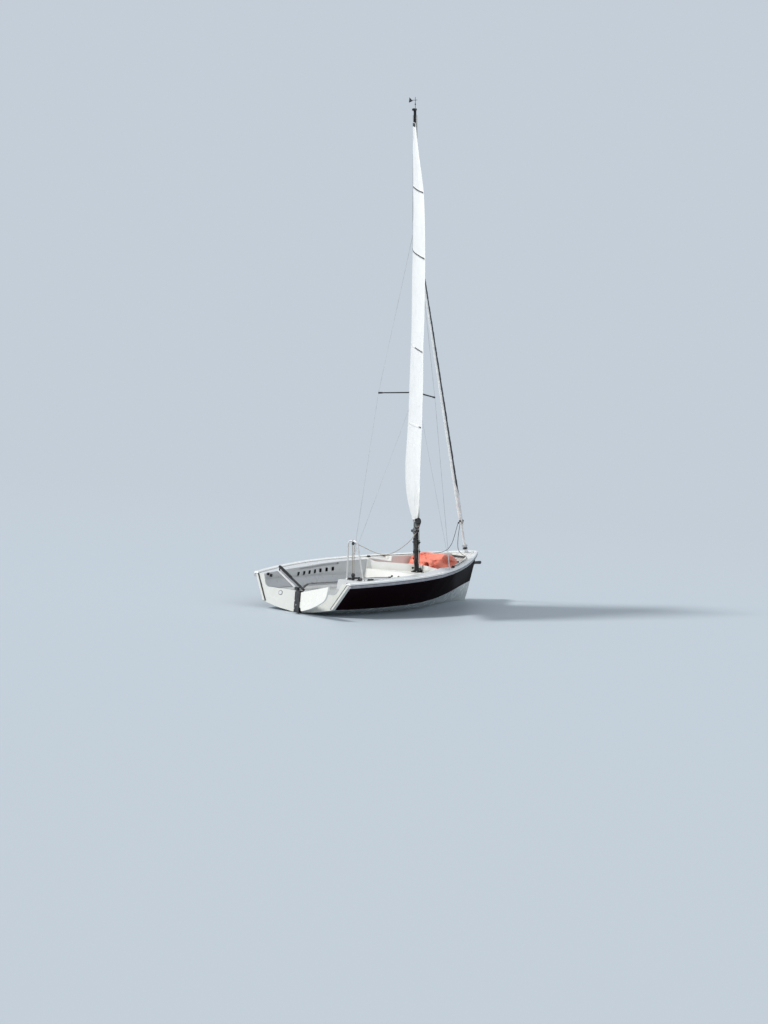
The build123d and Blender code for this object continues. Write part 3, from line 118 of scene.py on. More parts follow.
class Nodes(Tree):
    """One material's nodes."""

    def __init__(self, name):
        self.material = bpy.data.materials.new(name)
        super().__init__(self.material)
        self.out = self.add("OutputMaterial")
        self.shader = self.add("BsdfPrincipled")
        self.link(self.shader.outputs[0], self.out.inputs[0])
        self.place = self.add("TexCoord").outputs["Object"]

    def stretched(self, scale, turn=(0, 0, 0)):
        return self.add("Mapping", {"Vector": self.place, "Scale": scale, "Rotation": turn}).outputs[0]

    def noise(self, scale, detail=3.0, rough=0.55, place=None):
        return self.add("TexNoise", {"Vector": place or self.place, "Scale": scale, "Detail": detail,
                                     "Roughness": rough}).outputs["Fac"]

    def wave(self, scale, direction="X", distortion=0.0, place=None):
        return self.add("TexWave", {"Vector": place or self.place, "Scale": scale,
                                    "Distortion": distortion}, bands_direction=direction).outputs["Fac"]

    def cells(self, scale):
        return self.add("TexVoronoi", {"Vector": self.place, "Scale": scale}).outputs["Distance"]

    def ramp(self, value, low, high, start=0.0, end=1.0):
        return self.add("MapRange", {"Value": value, "From Min": low, "From Max": high,
                                     "To Min": start, "To Max": end}).outputs[0]

    def sum(self, first, second, operation="ADD"):
        return self.add("Math", {0: first, 1: second}, operation=operation).outputs[0]

    def times(self, first, second):
        return self.sum(first, second, "MULTIPLY")

    def mix(self, share, first, second):
        return self.add("Mix", {"Factor": share, 6: first, 7: second}, data_type="RGBA").outputs[2]

    def split(self, vector):
        return self.add("SeparateXYZ", {0: vector}).outputs

    def edges(self, radius):
        """1 on the rounded edges of a piece, 0 on its flats."""
        soft = self.add("Bevel", {"Radius": radius}, samples=4)
        flat = self.add("NewGeometry")
        dot = self.add("VectorMath", {0: soft.outputs[0], 1: flat.outputs["Normal"]}, operation="DOT_PRODUCT")
        return self.ramp(dot.outputs["Value"], 0.995, 0.86)

    # Painted shade: 1 in corners, creases and recesses that ambient occlusion finds, 0 in the open
    def painted_corner_shade(self, distance):
        node = self.add("AmbientOcclusion", {"Distance": distance}, samples=4)
        return self.ramp(node.outputs["AO"], 0.9, 0.35)

    def bump(self, height, strength, distance, before=None):
        node = self.add("Bump", {"Height": height, "Strength": strength, "Distance": distance})
        if before is not None:
            self.link(before, node.inputs["Normal"])
        return node.outputs[0]

    def finish(self, colour, rough, normal=None, **values):
        self.put(self.shader.inputs["Base Color"], colour)
        self.put(self.shader.inputs["Roughness"], rough)
        if normal is not None:
            self.link(normal, self.shader.inputs["Normal"])
        for key, value in values.items():
            self.shader.inputs[key.replace("_", " ")].default_value = value
        return self.material


def rgb(red, green, blue):
    """A colour as it is seen, from 0 to 255, as the linear values that the shader wants."""
    def linear(value):
        value = value / 255
        return value / 12.92 if value <= 0.04045 else ((value + 0.055) / 1.055) ** 2.4
    return (linear(red), linear(green), linear(blue), 1.0)


def gelcoat(name, colour, stain_and_shade, rough=(0.16, 0.34), wear=None, streak=0.35, coat=0.25, gloss_level=0.5):
    """Moulded gloss resin: faint orange peel, water marks that run down, dulled edges, and grime with painted
    shade in corners.
    """
    m = Nodes(name)
    mottle = m.noise(2.3, 4.0)
    runs = m.noise(1.0, 4.0, place=m.stretched((14.0, 14.0, 1.4)))
    marks = m.times(m.ramp(runs, 0.52, 0.75), m.ramp(mottle, 0.45, 0.75))
    shade = m.mix(m.times(marks, streak), colour, stain_and_shade)
    # Painted shade: corners found by ambient occlusion darken towards the stain colour, broken up by grime noise
    grime_and_shade = m.times(m.painted_corner_shade(0.05), m.ramp(m.noise(30.0), 0.3, 0.7))
    shade = m.mix(m.times(grime_and_shade, 0.45), shade, stain_and_shade)
    if wear is not None:
        worn = m.times(m.edges(0.006), m.ramp(m.noise(38.0, 5.0), 0.45, 0.62))
        shade = m.mix(m.times(worn, 0.6), shade, wear)
    gloss = m.ramp(m.noise(9.0, 5.0), 0.3, 0.75, *rough)
    peel = m.bump(m.noise(420.0, 2.0), 0.12, 0.0004)
    waves = m.bump(m.noise(3.5, 2.0), 0.14, 0.003, peel)
    return m.finish(shade, gloss, waves, Coat_Weight=coat, Coat_Roughness=0.12, Specular_IOR_Level=gloss_level)


def antislip(name, colour, stain_and_shade):
    """Moulded deck with raised diamonds, as underfoot in a cockpit."""
    m = Nodes(name)
    across = m.wave(26.0, "X", place=m.stretched((1, 1, 1), (0, 0, radians(28))))
    along = m.wave(26.0, "X", place=m.stretched((1, 1, 1), (0, 0, radians(-28))))
    studs = m.ramp(m.times(across, along), 0.28, 0.5)
    flat = m.ramp(m.split(m.add("NewGeometry").outputs["Normal"])["Z"], 0.93, 0.985)
    studs = m.times(studs, flat)
    worn = m.ramp(m.noise(3.0, 5.0), 0.42, 0.7)
    shade = m.mix(m.times(worn, 0.3), colour, stain_and_shade)
    # Painted shade in the recesses between the studs and in corners, towards the stain colour
    shade = m.mix(m.times(m.painted_corner_shade(0.08), 0.55), shade, stain_and_shade)
    gloss = m.ramp(studs, 0.0, 1.0, 0.36, 0.62)
    return m.finish(shade, gloss, m.bump(studs, 0.5, 0.0012, m.bump(m.noise(300.0), 0.15, 0.0004)),
                    Coat_Weight=0.1, Coat_Roughness=0.2)


def moulded(name, colour, worn_colour, rough=0.5, grain=260.0, depth=0.0006):
    """Black or grey moulded plastic and rubber, with a fine grain and chalky edges."""
    m = Nodes(name)
    shade = m.mix(m.ramp(m.noise(14.0, 5.0), 0.4, 0.75), colour, worn_colour)
    shade = m.mix(m.times(m.edges(0.003), 0.5), shade, worn_colour)
    gloss = m.ramp(m.noise(40.0, 4.0), 0.3, 0.7, rough - 0.1, rough + 0.12)
    return m.finish(shade, gloss, m.bump(m.noise(grain, 3.0), 0.3, depth), Specular_IOR_Level=0.4)


def metal(name, colour, scratch, rough, metallic=1.0):
    """Drawn or polished metal: fine lines along the length, finger marks and small scratches."""
    m = Nodes(name)
    lines = m.noise(120.0, 4.0, place=m.stretched((1.0, 1.0, 40.0)))
    smears = m.noise(11.0, 5.0)
    shade = m.mix(m.ramp(smears, 0.4, 0.75), colour, scratch)
    gloss = m.ramp(m.sum(lines, smears), 0.7, 1.3, *rough)
    return m.finish(shade, gloss, m.bump(lines, 0.12, 0.0003), Metallic=metallic)


def cloth(name, colour, shadow, weave=900.0, rough=0.7, crumple=0.35, sheen=0.3, through=0.0, ripstop=0.0,
          band=None):
    """Woven cloth: a fine plain weave, soft creases, and a little light through it."""
    m = Nodes(name)
    warp = m.wave(weave, "X", 0.6)
    weft = m.wave(weave, "Z", 0.6)
    threads = m.sum(m.sum(warp, weft), m.wave(weave, "Y", 0.6))
    creases = m.noise(7.0, 5.0, 0.6)
    shade = m.mix(m.ramp(creases, 0.35, 0.7), shadow, colour)
    if band:
        middle, half, start, dark = band
        spread = m.split(m.add("TexCoord").outputs["UV"])
        wavy = m.times(m.sum(m.noise(5.0), 0.5, "SUBTRACT"), 0.05)
        off = m.sum(m.sum(m.sum(spread["X"], middle, "SUBTRACT"), wavy), 0.0, "ABSOLUTE")
        reach = m.ramp(spread["Y"], start, start + 0.05, 0.0, half)
        inside = m.ramp(m.sum(reach, off, "SUBTRACT"), 0.0, 0.006)
        shade = m.mix(inside, shade, dark)
    bump = m.bump(threads, 0.12, 0.0003)
    bump = m.bump(creases, crumple, 0.012, bump)
    if ripstop:
        grid = m.sum(m.wave(ripstop, "X"), m.wave(ripstop, "Z"), "MAXIMUM")
        bump = m.bump(m.ramp(grid, 0.94, 1.0), 0.3, 0.0006, bump)
    material = m.finish(shade, m.ramp(creases, 0.3, 0.7, rough - 0.1, rough + 0.08), bump, Sheen_Weight=sheen)
    if through:
        thin = m.add("BsdfTranslucent", {"Color": shade, "Normal": bump})
        both = m.add("MixShader", {0: through, 1: m.shader.outputs[0], 2: thin.outputs[0]})
        m.link(both.outputs[0], m.out.inputs[0])
    return material


def rope(name, colour, fleck):
    """Braided line with a fleck woven in."""
    m = Nodes(name)
    braid = m.times(m.wave(420.0, "DIAGONAL"), m.wave(420.0, "DIAGONAL", place=m.stretched((-1, 1, 1))))
    shade = m.mix(m.ramp(m.cells(230.0), 0.25, 0.4), fleck, colour)
    shade = m.mix(m.ramp(m.noise(25.0), 0.5, 0.8, 0.0, 0.5), shade, (0.12, 0.11, 0.1, 1))
    return m.finish(shade, 0.75, m.bump(braid, 0.6, 0.0008), Sheen_Weight=0.25)


# Stain colour of the white gelcoat, also the colour of its painted corner shade
WHITE_STAIN_AND_SHADE = rgb(196, 192, 180)
M = {
    # The white bottom is toned down to pale grey with a teal tint: painted shade
    "bottom": gelcoat("bottom_white", rgb(192, 199, 198), rgb(150, 158, 150), streak=0.14, coat=0.08,
                      gloss_level=0.2),
    "dark": gelcoat("topside_maroon", rgb(16, 4, 8), rgb(36, 28, 34), rough=(0.2, 0.38), streak=0.08,
                    wear=rgb(84, 76, 80), coat=0.06, gloss_level=0.0),
    "white": gelcoat("gelcoat_white", rgb(238, 240, 240), WHITE_STAIN_AND_SHADE, wear=rgb(205, 205, 200)),
    "transom": gelcoat("transom_white", rgb(208, 210, 206), rgb(176, 178, 168), streak=0.5,
                       wear=rgb(236, 236, 232)),
    "blade": gelcoat("blade_white", rgb(236, 236, 230), rgb(214, 214, 204), streak=0.3),
    "sheet_rope": rope("rope_sheet", rgb(168, 158, 140), rgb(74, 72, 72)),
    "strake": moulded("strake_grey", rgb(150, 151, 158), rgb(176, 176, 180), 0.55),
    "grey": gelcoat("moulding_grey", rgb(206, 209, 212), rgb(166, 168, 168), rough=(0.24, 0.42)),
    "sole": antislip("sole_grey", rgb(186, 188, 188), rgb(140, 141, 134)),
    "thwart": antislip("thwart_white", rgb(236, 237, 235), rgb(190, 188, 178)),
    "spar": metal("spar_black", rgb(34, 34, 37), rgb(58, 58, 60), (0.28, 0.46), metallic=0.6),
    "steel": metal("stainless", rgb(226, 227, 228), rgb(196, 196, 196), (0.22, 0.4), metallic=0.85),
    "tube": metal("hoop_tube", rgb(238, 238, 238), rgb(214, 214, 214), (0.28, 0.45), metallic=0.45),
    "alloy": metal("alloy_bare", rgb(208, 209, 211), rgb(186, 186, 188), (0.26, 0.42)),
    "plastic": moulded("plastic_black", rgb(26, 26, 28), rgb(62, 62, 64), 0.46),
    "sail": cloth("sailcloth", rgb(253, 253, 252), rgb(246, 247, 246), rough=0.5, crumple=0.2, through=0.18),
    "orange": cloth("gennaker_orange", rgb(252, 158, 134), rgb(240, 122, 100), rough=0.42, crumple=0.5,
                    sheen=0.2, through=0.1, ripstop=60.0),
    "web": cloth("webbing_black", rgb(30, 30, 32), rgb(18, 18, 20), weave=260.0, rough=0.8, crumple=0.2),
    "batten": moulded("batten_grey", rgb(62, 66, 74), rgb(92, 94, 98), 0.5),
    "tape": cloth("sail_tape", rgb(244, 244, 242), rgb(228, 229, 228), weave=500.0, rough=0.55, crumple=0.15),
    "seam": cloth("sail_seam", rgb(246, 247, 248), rgb(238, 240, 242), weave=500.0, rough=0.5, crumple=0.1),
    "roll": cloth("jib_cloth", rgb(252, 252, 250), rgb(240, 241, 240), rough=0.5, crumple=0.3, through=0.1,
                  band=(0.419, 0.215, 0.172, rgb(50, 52, 58))),
    "thread": cloth("thread_pale", rgb(190, 190, 186), rgb(160, 160, 156), weave=1500.0, crumple=0.1),
    "black_rope": rope("rope_black", rgb(32, 32, 34), rgb(96, 96, 92)),
    "white_rope": rope("rope_white", rgb(222, 220, 212), rgb(92, 100, 120)),
    # Painted shade: near-black plates that line the slots' recesses
    "recess_shade": moulded("recess_painted_shade", rgb(20, 23, 28), rgb(34, 37, 42), 0.8),
    "foam": moulded("grip_foam", rgb(28, 28, 30), rgb(48, 48, 50), 0.85, grain=500.0, depth=0.0012),
}
# Each look's CAD nodes; the others are black plastic
LOOKS = {
    "bottom": "hull_bottom", "dark": "topside_port topside_starboard", "transom": "transom",
    "white": "stem_cap gunwale_port gunwale_starboard", "strake": "rubbing_strake_port rubbing_strake_starboard",
    "grey": "transom_bungs centreboard_case side_tank_port side_tank_starboard",
    "thwart": "foredeck mast_thwart", "blade": "centreboard rudder_blade", "sole": "cockpit_sole",
    "spar": "mast boom masthead spreaders bowsprit kicker_bracket mast_step",
    "steel": "gudgeons bow_fitting chainplates shrouds forestay centreboard_pin gooseneck",
    "alloy": "furler_drum boom_nose", "tube": "mainsheet_hoop tiller", "sail": "mainsail furled_jib",
    "orange": "stowed_gennaker", "web": "toe_straps well_net",
}
LOOK_OF = {name: look for look, names in LOOKS.items() for name in names.split()}
for name, piece in NODES.items():
    piece.data.materials.clear()
    piece.data.materials.append(M[LOOK_OF.get(name, "plastic")])
    given(piece.modifiers.new("weld", "WELD"), merge_threshold=0.00002)
    for polygon in piece.data.polygons:
        polygon.use_smooth = True
    given(piece.modifiers.new("bevel", "BEVEL"), width=0.0025, segments=2, limit_method="ANGLE",
          angle_limit=radians(32))
    given(piece.modifiers.new("normals", "WEIGHTED_NORMAL"), keep_sharp=True)

# The boat's lines, in the same frame as the solids
RAKE = radians(10.2)
MAST_FOOT = Vector((3.0418, 0.0, 0.4666))
MAST_UP = Vector((-sin(RAKE), 0.0, cos(RAKE)))
MAST_FORE = Vector((cos(RAKE), 0.0, sin(RAKE)))
SWING, GOOSENECK = 0.049, 0.56
BOOM_TURN, BOOM_RISE = radians(30), radians(6.5)
BOOM_WAY = Vector((-cos(BOOM_TURN) * cos(BOOM_RISE), -sin(BOOM_TURN) * cos(BOOM_RISE), sin(BOOM_RISE)))
BOOM_SIDE = Vector((-sin(BOOM_TURN), cos(BOOM_TURN), 0.0))
BOOM_UP = BOOM_SIDE.cross(BOOM_WAY)
STAY_FOOT, STAY_TOP = Vector((4.4312, 0.0, 0.7244)), Vector((2.2577, 0.0, 5.0502))
STAY_WAY = (STAY_TOP - STAY_FOOT).normalized()
TILLER_TURN = radians(58)
RUDDER_AXIS = Vector((-0.046, 0.0, 0.0))
TILLER_WAY = Vector((cos(TILLER_TURN), sin(TILLER_TURN), 0.0))
TILLER_SIDE = Vector((-TILLER_WAY.y, TILLER_WAY.x, 0.0))


def on_mast(fore, side, height):
    return MAST_FOOT + MAST_FORE * fore + Vector((0.0, side, 0.0)) + MAST_UP * height


def on_boom(distance, up=0.0, across=0.0):
    return on_mast(-SWING, 0.0, GOOSENECK) + BOOM_WAY * distance + BOOM_UP * up + BOOM_SIDE * across


def on_stay(distance):
    return STAY_FOOT + STAY_WAY * distance


def on_rudder(along, across, height):
    return RUDDER_AXIS + TILLER_WAY * along + TILLER_SIDE * across + Vector((0.0, 0.0, height))


# Parts of a turn, in radians
QUARTER, PART_16, PART_24 = 1.57, 0.3927, 0.2618


def circle(sides):
    """Cosine and sine of each corner of a regular polygon."""
    return [(cos(2 * pi * k / sides), sin(2 * pi * k / sides)) for k in range(sides)]


class Shape:
    """One piece in the making: its forms are added in the boat's frame, then it gets its look and body."""

    def __init__(self, mesh=None):
        self.mesh = mesh or bmesh.new()

    def rod(self, start, end, radius, end_radius=None, sides=14):
        start, end = Vector(start), Vector(end)
        along = end - start
        place = Matrix.Translation((start + end) / 2) @ along.to_track_quat("Z", "Y").to_matrix().to_4x4()
        bmesh.ops.create_cone(self.mesh, cap_ends=True, segments=sides, radius1=radius,
                              radius2=radius if end_radius is None else end_radius, depth=along.length,
                              matrix=place)
        return self

    def slab(self, centre, size, fore=(1, 0, 0), top=(0, 0, 1)):
        """A block: size is along fore, to its left, and along top."""
        fore = Vector(fore).normalized()
        left = Vector(top).cross(fore).normalized()
        turn = Matrix((fore, left, fore.cross(left))).transposed().to_4x4()
        place = Matrix.Translation(Vector(centre)) @ turn @ Matrix.Diagonal((*size, 1.0))
        bmesh.ops.create_cube(self.mesh, size=1.0, matrix=place)
        return self

    def ball(self, centre, radius, stretch=(1, 1, 1), sides=14):
        place = Matrix.Translation(Vector(centre)) @ Matrix.Diagonal((*stretch, 1.0))
        bmesh.ops.create_uvsphere(self.mesh, u_segments=sides, v_segments=sides // 2 + 1, radius=radius,
                                  matrix=place)
        return self

    def tube(self, points, radius, sides=10, closed=False, flat=1.0, up=(0, 0, 1)):
        """A tube through the points; flat squeezes it along up, and radius may be one number per point."""
        points = [Vector(p) for p in points]
        count = len(points)
        rings = []
        for i, point in enumerate(points):
            after = points[(i + 1) % count] if closed or i + 1 < count else point
            before = points[i - 1] if closed or i > 0 else point
            way = (after - before).normalized()
            left = Vector(up).cross(way)
            left = left.normalized() if left.length > 1e-6 else Vector((1, 0, 0))
            high = way.cross(left)
            size = radius[i] if isinstance(radius, (list, tuple)) else radius
            rings.append([self.mesh.verts.new(point + left * size * c + high * size * flat * s)
                          for c, s in circle(sides)])
        pairs = list(zip(rings, rings[1:])) + ([(rings[-1], rings[0])] if closed else [])
        for low, high in pairs:
            for k in range(sides):
                self.mesh.faces.new((low[k], low[(k + 1) % sides], high[(k + 1) % sides], high[k]))
        if not closed:
            self.mesh.faces.new(list(reversed(rings[0])))
            self.mesh.faces.new(rings[-1])
        return self

    def ring(self, centre, axis, radius, thick, sides=22, ring_sides=8):
        axis = Vector(axis).normalized()
        side = axis.orthogonal().normalized()
        other = axis.cross(side)
        spots = [Vector(centre) + side * radius * c + other * radius * s for c, s in circle(sides)]
        return self.tube(spots, thick, ring_sides, closed=True, up=axis)

    def grid(self, place, across, along, closed=False):
        """A surface of across by along quads, with its own two shares as the map."""
        spots = [[self.mesh.verts.new(place(i / across, j / along)) for i in range(across + (0 if closed else 1))]
                 for j in range(along + 1)]
        layer = self.mesh.loops.layers.uv.verify()
        width = len(spots[0])
        for j in range(along):
            for i in range(across):
                corners = ((i, j), (i + 1, j), (i + 1, j + 1), (i, j + 1))
                face = self.mesh.faces.new([spots[b][a % width] for a, b in corners])
                for loop, (a, b) in zip(face.loops, corners):
                    loop[layer].uv = (a / across, b / along)
        return self

    def done(self, name, look, body="hull", bevel=0.0, thick=0.0, sharp=38, outward=True):
        if outward:
            bmesh.ops.recalc_face_normals(self.mesh, faces=self.mesh.faces)
        mesh = bpy.data.meshes.new(name)
        self.mesh.to_mesh(mesh)
        self.mesh.free()
        for polygon in mesh.polygons:
            polygon.use_smooth = True
        mesh.set_sharp_from_angle(angle=radians(sharp))
        mesh.materials.append(M[look])
        piece = added(name, mesh)
        if thick:
            given(piece.modifiers.new("shell", "SOLIDIFY"), thickness=thick, offset=0.0)
        if bevel:
            given(piece.modifiers.new("bevel", "BEVEL"), width=bevel, segments=2, limit_method="ANGLE",
                  angle_limit=radians(sharp))
        if body:
            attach(piece, body)
        return piece


def between_rows(rows, at, column):
    """A smooth value between the rows of a table, at a share in its first column."""
    places, values = [row[0] for row in rows], [row[column] for row in rows]
    last = len(rows) - 1
    i = max([k for k in range(last) if places[k] <= at], default=0)

    def slope(k):
        low, high = max(k - 1, 0), min(k + 1, last)
        return (values[high] - values[low]) / (places[high] - places[low])

    width = places[i + 1] - places[i]
    t = (at - places[i]) / width
    return ((2 * t ** 3 - 3 * t ** 2 + 1) * values[i] + (t ** 3 - 2 * t ** 2 + t) * width * slope(i)
            + (3 * t ** 2 - 2 * t ** 3) * values[i + 1] + (t ** 3 - t ** 2) * width * slope(i + 1))


# Mainsail
# share of the luff, depth of the belly, angle off the centreline in degrees
SAIL_ROWS = ((0.0, 0.04, 30.0), (0.03, 0.09, 30.6), (0.08, 0.138, 31.0), (0.15, 0.155, 31.5),
             (0.22, 0.14, 32.1), (0.3, 0.118, 33.0), (0.4, 0.104, 34.0), (0.5, 0.09, 35.2),
             (0.6, 0.079, 36.9), (0.7, 0.066, 38.9), (0.78, 0.056, 41.2), (0.85, 0.044, 43.0),
             (0.92, 0.026, 42.6), (1.0, 0.009, 41.5))
TACK_HEIGHT, LUFF = 0.69, 5.44
SAIL_CLEW = on_boom(2.33, 0.0432)
SAIL_TACK = on_mast(-SWING, 0.0, TACK_HEIGHT)
FOOT, HEAD, ROACH = (SAIL_CLEW - SAIL_TACK).length, 0.13, 0.28
FOOT_RISE = (SAIL_CLEW.z - SAIL_TACK.z) / FOOT


def on_sail(across, up, off=0.0, ripples=True):
    """A point of the sail, across from the luff and up it, and off to port of the cloth."""
    turn = radians(between_rows(SAIL_ROWS, up, 2))
    chord = FOOT + (HEAD - FOOT) * up + ROACH * 4 * up * (1 - up)
    rise = FOOT_RISE + (-0.17 - FOOT_RISE) * min(1.0, up / 0.5)
    along = Vector((-cos(turn), -sin(turn), rise)).normalized()
    port = Vector((-sin(turn), cos(turn), 0.0))
    depth = between_rows(SAIL_ROWS, up, 1) * 4 * across * (1 - across)
    if ripples:
        near_luff = exp(-across * chord / 0.16) * sin(up * 62) * 0.0035
        near_leech = exp(-(1 - across) * chord / 0.2) * sin(up * 41 + 1.0) * 0.0045
        hang = (noise.noise(Vector((across * 3.1, up * 7.0, 2.0))) * 0.006
                + noise.noise(Vector((across * 9 + up * 12, up * 5, 5.0))) * 0.003)
        depth += (near_luff + near_leech + hang) * min(1.0, across * 12, (1 - across) * 20 + 0.3, up * 40)
    return on_mast(-SWING, 0.0, TACK_HEIGHT + LUFF * up) + along * chord * across + port * (depth + off)


sail = Shape().grid(on_sail, 40, 170).done("mainsail_cloth", "sail", "boom", outward=False)
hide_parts("mainsail")

# Battens in their pockets: share of the luff's height at both ends, then how far across the sail the pocket and
# the dark part start
battens, pockets = Shape(), Shape()
BATTEN_END = 0.985
for luff_up, leech_up, start, dark in ((0.848, 0.84, 0.02, 0.02), (0.6977, 0.689, 0.02, 0.02),
                                       (0.475, 0.474, 0.42, 0.73), (0.27, 0.269, 0.55, 0.93)):
    for side in (-1, 1):
        for shape, half, off, first in ((pockets, 0.019, 0.0016, start), (battens, 0.0085, 0.0034, dark)):
            shape.grid(lambda a, b: on_sail(first + (BATTEN_END - first) * a,
                                            luff_up + (leech_up - luff_up) * (first + (BATTEN_END - first) * a)
                                            + (b - 0.5) * 2 * half / LUFF, side * off), 30, 3)
battens = battens.done("sail_battens", "batten", "boom", thick=0.001, outward=False)
pockets = pockets.done("sail_pockets", "tape", "boom", thick=0.0008, outward=False)

# Seams between the sail's panels
seams = Shape()
for k in range(1, 9):
    for side in (-1, 1):
        seams.grid(lambda a, b: on_sail(a * 0.998, k / 9 * 0.97 + (0.022 * a + (b - 0.5) * 0.014) / LUFF,
                                        side * 0.0009), 40, 2)
seams = seams.done("sail_seams", "seam", "boom", outward=False)

# Bolt rope, tapes along the leech and foot, and the corner patches
edges = Shape()
edges.tube([on_sail(0.0, k / 90, ripples=False) for k in range(91)], 0.0042, 8)
edges.tube([on_sail(0.998, k / 90) for k in range(91)], 0.0034, 6, flat=0.5)
edges.tube([on_sail(k / 40, 0.0005) for k in range(41)], 0.004, 6, flat=0.6)
edges = edges.done("sail_edges", "tape", "boom", outward=False)
patches = Shape()
for side in (-1, 1):
    for layer in range(3):
        reach, off = 0.17 - 0.045 * layer, side * (0.0018 + 0.0009 * layer)
        for corner, top in ((0, 0), (1, 0), (0, 1)):
            def patch(a, b):
                spread = a * pi / 2
                out, high = cos(spread) * b * reach, sin(spread) * b * reach * 0.55
                out, high = (out, high) if not top else (out * 3.2, high * 0.55)
                return on_sail(1 - out if corner else out, 1 - high if top else high, off)
            patches.grid(patch, 14, 8)
patches = patches.done("sail_patches", "tape", "boom", thick=0.0008, outward=False)
head = Shape()
for side in (-1, 1):
    head.grid(lambda a, b: on_sail(a * 0.92 + 0.02, 0.9905 + b * 0.0085, side * 0.005), 8, 3)
head = head.done("sail_headboard", "plastic", "boom", thick=0.003, outward=False)
rings = Shape()
for across, up in ((0.018, 0.006), (0.982, 0.006), (0.05, 0.02)):
    spot, beside = on_sail(across, up), on_sail(across, up, 0.01)
    rings.ring(spot, beside - spot, 0.011, 0.0036, 20, 8)
rings = rings.done("sail_rings", "steel", "boom")

# Furled jib: a thin roll below the clew, a fat one above it, and a dark strip along one side
JIB_ROWS = ((0.078, 0.0125), (0.12, 0.015), (0.3, 0.0152), (0.42, 0.0165), (0.47, 0.023), (0.55, 0.029),
            (0.8, 0.03), (2.0, 0.028), (3.2, 0.024), (4.2, 0.0195), (4.5, 0.015), (4.54, 0.008))
JIB_LOW, JIB_HIGH = 0.078, 4.54
SIDE_WAY = Vector((0.0, 1.0, 0.0))
FORE_WAY = SIDE_WAY.cross(STAY_WAY)


def on_jib(around, up):
    distance = JIB_LOW + (JIB_HIGH - JIB_LOW) * up
    turn = 2 * pi * around
    size = between_rows(JIB_ROWS, distance, 1)
    wrap = (around - distance / 0.62) % 1.0
    size += 0.0021 * wrap ** 2 * min(1.0, distance / 0.6)
    size += 0.0011 * sin(distance * 31 + turn * 2) * min(1.0, max(0.0, distance - 0.4) * 3)
    size += 0.0009 * sin(distance * 83 - turn) + 0.0006 * sin(distance * 140 + turn * 3)
    return on_stay(distance) + (SIDE_WAY * cos(turn) + FORE_WAY * sin(turn)) * size


jib = Shape().grid(on_jib, 36, 420, closed=True).done("jib_roll", "roll", outward=False)
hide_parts("furled_jib")
clew = Vector((4.168, -0.012, 1.142))
corner = Shape()
flap = (on_stay(0.4), on_stay(0.92), clew + Vector((0.012, 0.0, 0.0)))
corner.grid(lambda a, b: (flap[0] * (1 - b) + flap[1] * b) * (1 - a) + (flap[2] * (1 - b) + flap[1] * b) * a
            + Vector((0.0, -0.034 * sin(pi * (0.15 + 0.7 * a)) * (1 - 0.7 * b), 0.0)), 12, 20)
corner.done("jib_corner", "sail", thick=0.0022, outward=False)
Shape().ring(clew + Vector((0.008, 0, 0)), (0.2, 1, 0.1), 0.011, 0.0035).done("jib_ring", "steel")
knots = Shape()
for spot, size in (((-0.012, -0.006, 0.006), 0.016), ((-0.02, 0.008, -0.02), 0.015),
                   ((0.046, -0.018, 0.012), 0.018), ((0.04, -0.02, -0.014), 0.013)):
    centre = clew + Vector(spot)
    for turn in range(3):
        axis = Vector((sin(turn * 2.1), cos(turn * 2.1), 0.4 * turn - 0.3))
        knots.ring(centre, axis, size * 0.55, size * 0.42, 14, 7)
knots.done("jib_knots", "black_rope")


def nurbs(name, route):
    """A line as a NURBS curve along given points."""
    curve = given(bpy.data.curves.new(name, "CURVE"), dimensions="3D", resolution_u=12)
    spline = curve.splines.new("NURBS")
    spline.points.add(len(route) - 1)
    for point, place in zip(spline.points, route):
        point.co = (*place, 1.0)
    spline.order_u = 3
    spline.use_endpoint_u = True
    return curve


# Jib sheets: slack, from the knots at the clew down to the deck and aft to their cleats
SHEET_WIDTH = 0.008
# The part along the side decks is the same on both sides
SHEET_AFT = ((3.6, 0.43, 0.637), (3.4, 0.5, 0.625), (3.2, 0.566, 0.613), (3.0, 0.628, 0.602),
             (2.86, 0.668, 0.598))
SHEET_PORT = ((4.15, 0.006, 1.12), (4.136, 0.014, 1.05), (4.128, 0.034, 0.93), (4.14, 0.075, 0.8),
              (4.132, 0.14, 0.712), (4.098, 0.205, 0.677), (4.02, 0.262, 0.665), (3.85, 0.335, 0.653))
SHEET_STARBOARD = ((4.146, -0.03, 1.112), (4.122, -0.036, 1.05), (4.104, -0.038, 0.93), (4.098, -0.044, 0.82),
                   (4.08, -0.07, 0.738), (4.05, -0.135, 0.698), (4.01, -0.215, 0.676), (3.94, -0.295, 0.664),
                   (3.82, -0.35, 0.652))
for side, way, length, start in (("port", 1, 1.85, SHEET_PORT), ("starboard", -1, 1.81, SHEET_STARBOARD)):
    route = (*start, *((x, way * y, z) for x, y, z in SHEET_AFT))
    curve = given(nurbs(f"jib_sheet_{side}", route), bevel_depth=SHEET_WIDTH / 2, bevel_resolution=3,
                  use_fill_caps=True)
    curve.materials.append(M["black_rope"])
    cord = added(f"jib_sheet_{side}", curve)
    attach(cord, "hull")


